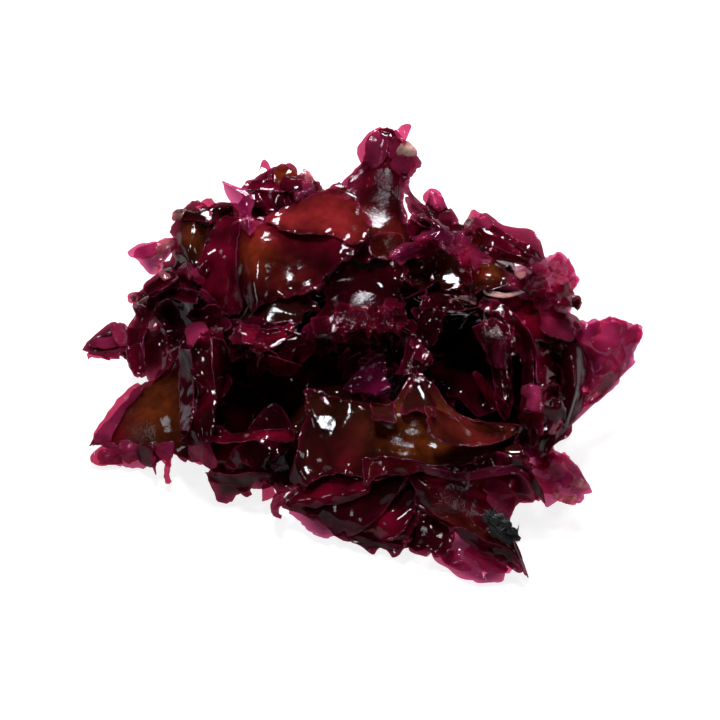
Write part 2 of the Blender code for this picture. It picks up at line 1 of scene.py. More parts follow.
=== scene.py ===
"""A heap of wet dulse on a table: thin red fronds of seaweed, lying over each other.

Every frond is a grid surface. Its rails are curves along the frond, a spline across them makes the
blade, and numpy works out its lobes, ruffles and creases. The fronds are laid one after the other:
each is raised towards the side that it faces until it rests on those laid before it.
"""
import math
from dataclasses import dataclass

import bmesh
import bpy
import numpy as np
from bpy.props import FloatProperty, FloatVectorProperty, PointerProperty
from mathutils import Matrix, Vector


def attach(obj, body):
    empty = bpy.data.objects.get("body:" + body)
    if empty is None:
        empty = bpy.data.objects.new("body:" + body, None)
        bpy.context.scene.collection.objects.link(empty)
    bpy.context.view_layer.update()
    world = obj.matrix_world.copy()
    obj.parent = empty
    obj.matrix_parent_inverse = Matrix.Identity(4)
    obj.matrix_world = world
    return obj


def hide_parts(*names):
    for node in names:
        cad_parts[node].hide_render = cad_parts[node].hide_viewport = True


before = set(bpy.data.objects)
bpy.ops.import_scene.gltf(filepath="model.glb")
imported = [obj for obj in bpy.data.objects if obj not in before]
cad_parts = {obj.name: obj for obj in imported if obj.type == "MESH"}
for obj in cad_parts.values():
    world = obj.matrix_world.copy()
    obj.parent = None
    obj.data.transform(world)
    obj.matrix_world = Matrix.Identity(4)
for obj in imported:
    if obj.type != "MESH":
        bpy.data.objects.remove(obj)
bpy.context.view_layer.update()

bl_info = {
    "name": "Dulse Heap",
    "version": (1, 0, 0),
    "blender": (4, 5, 0),
    "location": "3D View > Sidebar > Dulse",
    "description": "Builds a heap of wet dulse fronds, its holdfast and a plain studio",
    "category": "Add Mesh",
}

MM = 0.001  # the sizes of the fronds are in millimetres
PICTURE_SIDE = 720  # pixels
PICTURE_MIDDLE = (-4, 50)  # pixels to the right of the heap's origin and above it

# The heap's box is centred on the origin, which moves every frond by this much
CENTRING = np.array([0.617, -1.286, 0.0])
HEAP_MIDDLE_Y = 4.0

# The sides that a frond can face, as azimuth and elevation in degrees of someone who looks at it.
# Rails are set out as that person sees them: right, up, and the height above the table.
FRONT = (0.0, 40.0)
ABOVE = (0.0, 90.0)
OUTWARD_ELEVATION = 48.0
UNDER_ELEVATION = 78.0

# Lengths are in millimetres, and a rest, a cell or a drape below is a share
FAR = 400.0  # stands for no surface at all in a map
MAP_CELL = 0.8  # side of a cell in the map of what lies under a frond
SURFACE_REACH = 15.0  # how far round a leaf the map of the heap's top goes
SURFACE_BLUR = 2.0  # and how far off a cell still counts
RIGHT_BASE_SHARE = 0.88  # of the left base frond's reach that the right one has
UNDER_START = (-10.0, 17.0)  # radius and height at which the fronds inside the heap start
UNDER_END = (56.0, 3.0)
HANG_START = (16.0, 45.0)  # radius and height at which the hanging fronds leave the crown
HANG_END_HEIGHT = 1.0
LEAF_REST = 0.75  # share of a leaf that is clear of what lies under it
SCRAP_REST = 0.65
SCRAP_REACH = 3.0  # how far round its middle a scrap feels for the slope
STEEPEST_SCRAP = 1.2  # rise over run
BACK_CELL = 1.6  # of the usual cell, for a frond that doesn't face the front
BACK_DRAPE = 0.3  # of the usual drape, for the same fronds
LEAF_CELL = 0.85
HOLDFAST_PLACE = (43.0, -36.5, 4.0)  # right, up and height, before it is set down
HOLDFAST_SLOPE = -38.0  # how far its long side turns from level, in degrees
HOLDFAST_FIBRES = 26

# Lengths of the waves in a blade, and shares of a size that the finer ones have
DENT_LENGTH, DENT_HEIGHT = 30, 0.6
CREASE_LENGTH, FINE_CREASE_LENGTH, FINE_SHARE = 22, 9, 0.25
WRINKLE_LENGTH, WRINKLE_HEIGHT = 3.2, 0.03
RUFFLE_LENGTH, RUFFLE_REACH = 9, 4.0
FRILL_LENGTH, FRILL_REACH, FRILL_SHARE = 4, 2.0, 0.2
RIM_LENGTH, RIM_REACH, RIM_HEIGHT = 14, 0.8, 0.6
BULGE_LENGTH, NICK_LENGTH, BULGE, NICK = 13, 4, 0.7, 0.25

# Places where the fronds are grained and sparkle: right, up, radius, amount
SPARKLES = (
    (5, 70, 7, 1.0), (11, 51.5, 5, 0.7), (-2.5, 28, 7, 1.0), (-11, 22.5, 5, 0.8),
    (3, 14, 5, 0.7), (14, 14, 5, 0.5), (13, -8.5, 6, 1.0), (27, -30, 7, 1.0),
    (42, -33, 5, 0.8), (-72, -7, 5, 0.8), (42, 25, 6, 0.8), (65, 12, 5, 0.5),
    (61, 45, 6, 0.5), (77, 10, 8, 0.25), (-36, -24, 6, 0.4), (54, -4, 4, 0.4),
)


@dataclass
class Frond:
    """A frond's rails have the same number of points. Its sizes are in millimetres."""

    name: str
    rails: list
    slot: str = "crimson_frond"
    faces: tuple = FRONT
    lobes: float = 1.5  # how far the outline wanders
    relief: float = 1.0  # height of the soft dents
    taper: float = 0.3  # how much narrower it is at its ends
    stiff: float = 1.0  # share of the usual drape, over which it bridges a step
    shade: float = 0.0  # painted shade for fronds deep in the heap: 1 is darkest
    ruffle: float = 1.0  # share of the usual ruffle along the margin
    stout: float = 1.0  # how thick it looks: less lets more light through
    blush: tuple = ()  # places of brighter crimson, painted light where the frond is lit: right, up, radius, amount
    glow: tuple = ()  # places that are orange-brown, the same way: the tissue's own brown and painted backlight glow
    leaves: tuple = ()  # smaller sheets that belong to it, laid after it
    scraps: tuple = ()  # places of curled scraps: right, up, half width, half height, count, thin


@dataclass
class Leaf:
    """A small sheet. Its rails hold right, up and the height above what lies under it there."""

    rails: tuple
    stout: float = 1.0
    # painted light: brighter crimson, as where the leaf is lit
    blush: float = 0.0
    # orange-brown: the tissue's own brown and painted backlight glow
    glow: float = 0.0
    thin: float = 0.0  # 1 is thin and pink
    pale: float = 0.0  # 1 is bleached
    lobes: float = 0.5
    relief: float = 0.35
    taper: float = 0.3
    ruffle: float = 0.5
    # painted shade: 1 is darkest
    shade: float = 0.0


def dark(*rails, **more):
    return Leaf(rails, **more)


# A leaf painted brighter crimson, as painted light where it is lit
def red(*rails, **more):
    return Leaf(rails, **{"blush": 0.6, **more})


# A leaf painted orange-brown: its own brown and painted backlight glow
def brown(*rails, **more):
    return Leaf(rails, **{"glow": 0.7, **more})


def pink(*rails, **more):
    return Leaf(rails, **{"thin": 1.0, "stout": 0.5, **more})


def pale(*rails, **more):
    return Leaf(rails, **{"pale": 0.7, "stout": 0.5, **more})


def direction(faces):
    """The unit vector towards someone at that azimuth and elevation."""
    azimuth, elevation = (math.radians(angle) for angle in faces)
    level = math.cos(elevation)
    return np.array([math.sin(azimuth) * level, -math.cos(azimuth) * level, math.sin(elevation)])


def seen_from(faces, points):
    """Points given as right, up and height, in x, y and z. Up is at right angles to the view."""
    azimuth, elevation = (math.radians(angle) for angle in faces)
    right, up, height = np.moveaxis(np.asarray(points, float), -1, 0)
    away = (up - height * math.cos(elevation)) / math.sin(elevation)
    x = right * math.cos(azimuth) - away * math.sin(azimuth)
    y = right * math.sin(azimuth) + away * math.cos(azimuth)
    return np.stack([x, y, height], axis=-1)


def view_axes(faces):
    """Unit vectors to the right, upwards and towards someone at that azimuth and elevation."""
    azimuth = math.radians(faces[0])
    towards = direction(faces)
    right = np.array([math.cos(azimuth), math.sin(azimuth), 0.0])
    return np.stack([right, np.cross(towards, right), towards])


def picture_place(points):
    """Right and up of points, as seen from the front."""
    return np.moveaxis(points @ view_axes(FRONT)[:2].T, -1, 0)


def spline(points, at):
    """A smooth curve through points, read at places from 0 to 1. Past its ends it goes straight on."""
    last = len(points) - 1
    ends = np.concatenate([[2 * points[0] - points[1]], points, [2 * points[-1] - points[-2]]])
    place = at * last
    first = np.clip(np.floor(place).astype(int), 0, last - 1)
    before, start, end, after = (ends[first + step] for step in range(4))
    t = (place - first)[..., None]
    inside = np.clip(t, 0, 1)
    slope_in, slope_out = (end - before) / 2, (after - start) / 2
    return (
        start * (1 + 2 * inside) * (1 - inside) ** 2
        + end * inside**2 * (3 - 2 * inside)
        + slope_in * (inside * (1 - inside) ** 2 + np.minimum(t, 0))
        + slope_out * (inside**2 * (inside - 1) + np.maximum(t - 1, 0))
    )


def waves(seed, *places, count=5):
    """A smooth irregular wave of about unit height: a sum of sines with seeded ways and phases."""
    rng = np.random.default_rng(seed)
    total = 0.0
    for _ in range(count):
        ways = rng.normal(size=len(places))
        ways *= rng.uniform(0.6, 1.5) / np.linalg.norm(ways)
        phase = rng.uniform(0, 2 * math.pi)
        total = total + np.sin(2 * math.pi * sum(w * p for w, p in zip(ways, places)) + phase)
    return total / math.sqrt(count / 2)


def bulges(seed, *places, count=5):
    """Round humps with sharp valleys between them: the size of a wave, less its mean."""
    return np.abs(waves(seed, *places, count=count)) - 0.6


def size_of(net):
    """The mean length and width of a net of points, rails by points."""
    length = np.linalg.norm(np.diff(net, axis=1), axis=2).sum(axis=1).mean()
    width = np.linalg.norm(np.diff(net, axis=0), axis=2).sum(axis=0).mean()
    return length, width


def unit(vectors):
    return vectors / np.maximum(np.linalg.norm(vectors, axis=-1, keepdims=True), 1e-9)


def notches(seed, place, length, side):
    """Sharp slits in an outline: each falls off on both sides of its own place along it."""
    rng = np.random.default_rng(seed)
    total = 0.0
    for _ in range(round(length / 22)):
        middle, depth, only = rng.uniform(0.1, 0.95), rng.uniform(0.4, 2.0), rng.choice((-1, 1))
        total = total + depth * np.exp(-np.abs(place - middle) * length / 1.2) * (side == only)
    return total


def blade(net, shape, faces, cell, seed, sizes):
    """A sheet's middle surface, and how far each of its points is from the margin.

    The rails give the form: a spline along each and one across them. The outline moves out and in
    by long, middle and short bulges and by slits. The surface then moves towards the viewer by soft
    dents, folded creases and small wrinkles, by ruffles that fade inwards, and by a curled rim.
    """
    length, width = size_of(net)
    rows, columns = max(round(length / cell), 14) + 1, max(round(width / cell), 12) + 1
    s, t = np.meshgrid(np.linspace(0, 1, rows), np.linspace(0, 1, columns), indexing="ij")
    to_end, to_side = 2 * s - 1, 2 * t - 1
    sides, ends = np.sign(to_side), np.sign(to_end)
    lobe_length = sizes.lobe_length / MM
    side_lobes = waves(seed, s * length / lobe_length, sides * 3.7) * shape.lobes
    end_lobes = waves(seed + 1, t * width / lobe_length, ends * 3.7) * shape.lobes
    fine = min(0.4 + 0.5 * shape.lobes, 1.2)
    side_fine = BULGE * bulges(seed + 3, s * length / BULGE_LENGTH, sides * 2.3)
    side_fine += NICK * bulges(seed + 4, s * length / NICK_LENGTH, sides * 5.1)
    side_fine -= notches(seed + 5, s, length, sides)
    end_fine = BULGE * bulges(seed + 6, t * width / BULGE_LENGTH, ends * 2.3)
    end_fine += NICK * bulges(seed + 7, t * width / NICK_LENGTH, ends * 5.1)
    end_fine -= notches(seed + 8, t, width, ends)
    blunt = 1 - shape.taper * np.abs(to_end) ** (2 + 1.8 / shape.taper)
    side_move = np.abs(to_side) ** 2 * side_lobes + np.abs(to_side) ** 5 * side_fine * fine
    end_move = np.abs(to_end) ** 2 * end_lobes + np.abs(to_end) ** 8 * end_fine * fine
    across_place = 0.5 + to_side * (0.5 * blunt + side_move / width)
    along = spline(np.eye(net.shape[1]), s + to_end * end_move / length)
    across = spline(np.eye(net.shape[0]), across_place)
    points = np.einsum("...j,...i,jic->...c", across, along, net)

    inward = np.minimum((1 - np.abs(to_side)) * width / 2, (1 - np.abs(to_end)) * length / 2)

    def wave_at(number, wave_length):
        return waves(seed + number, *np.moveaxis(points / wave_length, -1, 0))

    def folds_at(number, wave_length, kind):
        return kind(seed + number, *np.moveaxis(points / wave_length, -1, 0), count=4)

    dents = DENT_HEIGHT * shape.relief * wave_at(2, DENT_LENGTH)
    creases = sizes.crease_height / MM * shape.relief
    folded = creases * folds_at(9, CREASE_LENGTH, bulges)
    folded += FINE_SHARE * creases * folds_at(10, FINE_CREASE_LENGTH, waves)
    wrinkles = WRINKLE_HEIGHT * wave_at(11, WRINKLE_LENGTH)
    ruffle = sizes.ruffle_height / MM * shape.ruffle
    ruffles = ruffle * wave_at(12, RUFFLE_LENGTH) * np.exp(-((inward / RUFFLE_REACH) ** 2))
    frill = FRILL_SHARE * ruffle * wave_at(13, FRILL_LENGTH)
    ruffles += frill * np.exp(-((inward / FRILL_REACH) ** 2))
    rim = RIM_HEIGHT * np.exp(-inward / RIM_REACH) * (0.6 + 0.5 * wave_at(14, RIM_LENGTH))
    height = dents + folded + wrinkles + ruffles + rim
    return points + direction(faces) * height[..., None], inward


def beside(values, axis):
    """The values of a grid moved one step each way along an axis, and as they are."""
    last = values.shape[axis] - 1
    at = np.arange(last + 1)
    return [np.take(values, np.clip(at + step, 0, last), axis) for step in (-1, 0, 1)]


def swollen(values, steps):
    """The greatest value within that many steps, on each grid of a stack of grids."""
    for axis in (1, 2) * steps:
        values = np.max(beside(values, axis), axis=0)
    return values


def smoothed(values, steps):
    """The mean of neighbours, taken that many times, on each grid of a stack of grids."""
    for axis in (1, 2) * steps:
        values = np.mean(beside(values, axis), axis=0)
    return values


def doubled(sheets):
    """A stack of grids of points with one more point half-way between neighbours, both ways."""
    for axis in (1, 2):
        coarse = np.moveaxis(sheets, axis, 0)
        fine = np.empty((2 * len(coarse) - 1, *coarse.shape[1:]))
        fine[::2] = coarse
        fine[1::2] = (coarse[1:] + coarse[:-1]) / 2
        sheets = np.moveaxis(fine, 0, axis)
    return sheets


class Heap:
    """The fronds laid so far, as points close enough together to stand for their surfaces."""

    def __init__(self):
        self.clear()

    def clear(self):
        self.points = np.zeros((0, 3))

    def keep(self, sheets):
        self.points = np.concatenate([self.points, doubled(sheets).reshape(-1, 3)])
        return sheets

    def needed(self, sheets, faces, apart):
        """How far each point has to move towards the viewer to clear the table and all laid fronds.

        What was laid is drawn as a map of its height towards the viewer, one cell wider all round.
        """
        axes = view_axes(faces)
        place = sheets @ axes[:2].T
        low = place.reshape(-1, 2).min(axis=0) - 3 * MAP_CELL
        cells = np.floor((place - low) / MAP_CELL).astype(int)
        size = cells.reshape(-1, 2).max(axis=0) + 4
        under = np.floor((self.points @ axes[:2].T - low) / MAP_CELL).astype(int)
        inside = ((under >= 0) & (under < size)).all(axis=1)
        height = np.full(size, -FAR)
        np.maximum.at(height, tuple(under[inside].T), self.points[inside] @ axes[2])
        height = swollen(height[None], 1)[0][cells[..., 0], cells[..., 1]]
        over_table = (apart - sheets[..., 2]) / axes[2][2]
        return np.maximum(height + apart - sheets @ axes[2], over_table)

    def surface_at(self, places, faces):
        """Height towards the viewer of the heap's top at some places of the view.

        It is a mean of the cells of the map, which weighs the nearest ones most.
        """
        seen = self.points @ view_axes(faces).T
        flat = places.reshape(-1, 2)
        low = flat.min(axis=0) - SURFACE_REACH
        seen = seen[((seen[:, :2] > low) & (seen[:, :2] < flat.max(axis=0) + SURFACE_REACH)).all(axis=1)]
        cells = np.floor((seen[:, :2] - low) / MAP_CELL).astype(int)
        height = np.full(cells.max(axis=0) + 1, -FAR)
        np.maximum.at(height, tuple(cells.T), seen[:, 2])
        filled = np.argwhere(height > -FAR)
        apart = np.linalg.norm(flat[:, None] - (low + (filled + 0.5) * MAP_CELL), axis=2)
        weight = np.exp(-(((apart - apart.min(axis=1, keepdims=True)) / SURFACE_BLUR) ** 2))
        mean = (weight * height[tuple(filled.T)]).sum(axis=1) / weight.sum(axis=1)
        return mean.reshape(places.shape[:-1])

    def lay(self, sheets, faces, apart, steps, settle):
        """Raises a stack of sheets clear, evenly over that many steps. A settled one first goes back."""
        need = self.needed(sheets, faces, apart)
        if settle and need.max() < 0:
            sheets = sheets + need.max() * direction(faces)
            need = need - need.max()
        need = np.maximum(smoothed(need, 1), 0)
        lift = smoothed(swollen(need, round(0.6 * steps)), steps)
        return self.keep(sheets + lift[..., None] * direction(faces))

    def set_down(self, sheets, faces, apart, share):
        """Moves stiff sheets until that share of each one is clear, without bending them."""
        need = self.needed(sheets, faces, apart)
        over_table = (apart - sheets[..., 2]).max(axis=(1, 2)) / direction(faces)[2]
        move = np.maximum(np.quantile(need, share, axis=(1, 2)), over_table)
        return self.keep(sheets + move[:, None, None, None] * direction(faces))


HEAP = Heap()


def grid_faces(count, rows, columns, first=0):
    """The quads of a stack of grids whose points follow each other."""
    at = first + np.arange(count * rows * columns).reshape(count, rows, columns)
    corners = (at[:, :-1, :-1], at[:, 1:, :-1], at[:, 1:, 1:], at[:, :-1, 1:])
    return np.stack(corners, axis=-1).reshape(-1, 4)


def new_piece(name, points, faces, slot, replaces):
    """A smooth mesh object at the origin, which rides on the heap and stands for a CAD node."""
    mesh = bpy.data.meshes.new(name)
    mesh.from_pydata(((points + CENTRING) * MM).tolist(), [], faces.tolist())
    mesh.shade_smooth()
    piece = bpy.data.objects.new(name, mesh)
    bpy.context.scene.collection.objects.link(piece)
    piece.data.materials.append(finish(slot))
    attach(piece, "root")
    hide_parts(replaces)
    return piece


def spots_at(spots, points):
    """Soft round spots, set by their places as seen from the front."""
    right, up = picture_place(points)
    total = np.zeros(right.shape)
    for middle, height, radius, amount in spots:
        total += amount * np.exp(-((right - middle) ** 2 + (up - height) ** 2) / radius**2)
    return np.clip(total, 0, 1)


def add_frond(frond, number):
    """Lays the blade and then its leaves, and joins them in one piece with its thickness."""
    sizes = bpy.context.scene.dulse_sizes
    apart = (sizes.thickness + sizes.gap) / MM
    cell = sizes.cell / MM * (1.0 if frond.faces == FRONT else BACK_CELL)
    seed = 100 + 10 * number
    net = seen_from(frond.faces, frond.rails)
    sheet, inward = blade(net, frond, frond.faces, cell, seed, sizes)
    drape = frond.stiff * sizes.drape / MM * (1.0 if frond.faces == FRONT else BACK_DRAPE)
    steps = max(round(drape / cell), 1)
    sheet = HEAP.lay(sheet[None], frond.faces, apart, steps, settle=True)[0]
    sheets, values = [sheet], [values_of(frond, sheet, inward)]
    for at, leaf in enumerate(frond.leaves):
        net = np.array(leaf.rails, float)
        net[..., 2] += HEAP.surface_at(net[..., :2], FRONT)
        net = net @ view_axes(FRONT)
        sheet, inward = blade(net, leaf, FRONT, LEAF_CELL * cell, seed + 37 * (at + 1), sizes)
        sheet = HEAP.set_down(sheet[None], FRONT, apart, LEAF_REST)[0]
        sheets.append(sheet)
        values.append(values_of(leaf, sheet, inward))
    for at, place in enumerate(frond.scraps):
        for sheet, value in scraps(place, seed + 5000 + at, apart):
            sheets.append(sheet)
            values.append(value)
    firsts = np.cumsum([0] + [sheet[..., 0].size for sheet in sheets])
    faces = [grid_faces(1, *sheet.shape[:2], first) for sheet, first in zip(sheets, firsts)]
    points = np.concatenate([sheet.reshape(-1, 3) for sheet in sheets])
    name = frond.name.replace("_frond", "")
    piece = new_piece(name, points, np.concatenate(faces), frond.slot, frond.name)
    for name in values[0]:
        value = np.concatenate([each[name].ravel() for each in values])
        piece.data.attributes.new(name, "FLOAT", "POINT").data.foreach_set("value", value)
    wall = piece.modifiers.new("sheet", "SOLIDIFY")
    wall.thickness = sizes.thickness
    wall.offset = 0
    return piece


def scraps(place, seed, apart):
    """Small curled sheets, strewn over an oblong place as seen from the front.

    Each is a leaf whose width swells and falls along it. It leans as what lies under it and a
    little more, and is cupped, rolled and twisted by squares and products of its two parameters.
    """
    right, up, half_width, half_height, count, thin = place
    rng = np.random.default_rng(seed)
    u, v = np.meshgrid(np.linspace(0, 1, 15), np.linspace(-1, 1, 11), indexing="ij")
    found = []
    for _ in range(count):
        length = rng.uniform(5, 10)
        width = length * rng.uniform(0.5, 0.9)
        turn = rng.uniform(0, 2 * math.pi)
        half = width / 2 * (0.1 + 0.9 * np.sin(math.pi * (0.08 + rng.uniform(0.65, 0.9) * u)))
        half = half * (1 + 0.28 * waves(rng.integers(10000), u * 2.2, np.sign(v) * 3.1))
        place = np.array([right, up]) + rng.uniform(-1, 1, 2) * (half_width, half_height)
        round_it = place + SCRAP_REACH * np.array([(-1, 0), (1, 0), (0, -1), (0, 1)])
        left, right_of, below, above = HEAP.surface_at(round_it, FRONT)
        slope = np.array([right_of - left, above - below]) / (2 * SCRAP_REACH)
        slope = np.clip(slope, -STEEPEST_SCRAP, STEEPEST_SCRAP)
        along, across = length * (u - 0.5), half * v
        sideways = along * math.cos(turn) - across * math.sin(turn)
        upwards = along * math.sin(turn) + across * math.cos(turn)
        tilt = rng.uniform(-0.5, 0.5, 2)
        cup, roll, twist = rng.normal(size=3) * (1.3, 1.6, 1.6)
        height = slope[0] * sideways + slope[1] * upwards + tilt[0] * along + tilt[1] * across
        height += cup * v**2 + roll * 4 * (u - 0.5) ** 2 + twist * (u - 0.5) * v
        height += 0.25 * waves(rng.integers(10000), u * length / 5, v * width / 10)
        net = np.stack([place[0] + sideways, place[1] + upwards, height], axis=-1)
        sheet = HEAP.set_down((net @ view_axes(FRONT))[None], FRONT, apart, SCRAP_REST)[0]
        inward = np.minimum((1 - np.abs(v)) * half, np.minimum(u, 1 - u) * length)
        # Each scrap gets a random amount of painted light (blush) and of painted shade
        look = Leaf(
            (), blush=rng.uniform(0, 0.6), thin=float(rng.uniform() < thin), shade=rng.uniform(0, 0.6),
        )
        found.append((sheet, values_of(look, sheet, inward)))
    return found


def values_of(shape, sheet, inward):
    """What the finish reads at each point: distance from the margin, and amounts from 0 to 1. Blush and
    glow are painted light, shade is painted shade.
    """
    even = np.ones(inward.shape)
    if isinstance(shape, Frond):
        blush, glow, thin, bleached = spots_at(shape.blush, sheet), spots_at(shape.glow, sheet), 0, 0
    else:
        blush, glow, thin, bleached = shape.blush, shape.glow, shape.thin, shape.pale
    values = {"margin": shape.stout * inward, "blush": blush * even, "glow": glow * even}
    values["sparkle"] = spots_at(SPARKLES, sheet)
    return {**values, "thin": thin * even, "pale": bleached * even, "shade": shape.shade * even}


def base_fronds():
    """Four fronds pressed flat on the table, which carry the heap and don't reach each other."""
    left = [
        [(-6, 10, 0), (-30, 24, 0), (-56, 24, 0), (-70, 12, 0)],
        [(-3, -1, 0), (-30, 0, 0), (-58, -3, 0), (-77, -6, 0)],
        [(-6, -12, 0), (-30, -25, 0), (-54, -28, 0), (-69, -20, 0)],
    ]
    right = [[(-RIGHT_BASE_SHARE * x, y, z) for x, y, z in rail] for rail in left]
    front = [
        [(-13, -24, 0), (-19, -44, 0), (-12, -62, 0)],
        [(0, -20, 0), (3, -44, 0), (8, -72, 0)],
        [(13, -24, 0), (24, -44, 0), (28, -66, 0)],
    ]
    back = [
        [(-16, 30, 0), (-21, 48, 0), (-14, 64, 0)],
        [(0, 24, 0), (0, 48, 0), (0, 72, 0)],
        [(16, 30, 0), (22, 48, 0), (17, 66, 0)],
    ]
    sides = {"left": left, "right": right, "front": front, "back": back}
    return [
        Frond(f"base_frond_{side}", rails, "brown_frond", ABOVE, lobes=1.5, relief=0)
        for side, rails in sides.items()
    ]


def hanging_frond(name, azimuth, elevation, start, end, half_width, seed, slot):
    """A frond that leaves the crown at start and hangs outwards to end, each a radius and a height."""
    faces = (azimuth, elevation)
    tilt = math.radians(elevation)
    middle = HEAP_MIDDLE_Y * math.cos(math.radians(azimuth))
    sideways = HEAP_MIDDLE_Y * math.sin(math.radians(azimuth))
    rails = []
    for side in np.linspace(-1, 1, 4):
        rail = []
        for share in np.linspace(0, 1, 4):
            crease = waves(seed, side * 1.1, share * 0.5)
            radius = start[0] + (end[0] - start[0]) * share + 3.0 * crease * share
            height = start[1] + (end[1] - start[1]) * share**2 + 2.5 * crease
            right = side * half_width * (0.5 + 0.5 * share) + sideways
            up = (middle - radius) * math.sin(tilt) + max(height, 0) * math.cos(tilt)
            rail.append((right, up, max(height, 0)))
        rails.append(rail)
    return Frond(name, rails, slot, faces, lobes=2.5, relief=2.2, ruffle=1.6)


def under_fronds():
    """Fronds under the top ones, which spread from the middle of the heap one after the other."""
    fronds = []
    for number, azimuth in enumerate((20, 200, 110, 290, 335, 155, 245)):
        name = f"under_frond_{number + 1}"
        slot = "brown_frond" if number % 3 == 1 else "crimson_frond"
        fronds.append(hanging_frond(
            name, azimuth, UNDER_ELEVATION, UNDER_START, UNDER_END, 30.0, 60 + number, slot,
        ))
    return fronds


def back_fronds():
    """Fronds that hang from the crown down the sides and the back, away from the front."""
    reach = {105: 66.0, 135: 79.0, 168: 76.0, 200: 74.0, 232: 79.0, 262: 66.0}
    fronds = []
    for number, (azimuth, radius) in enumerate(reach.items()):
        name = f"back_frond_{number + 1}"
        slot = "brown_frond" if number % 2 else "crimson_frond"
        end = (radius, HANG_END_HEIGHT)
        fronds.append(hanging_frond(
            name, azimuth, OUTWARD_ELEVATION, HANG_START, end, 27.0, 80 + number, slot,
        ))
    return fronds


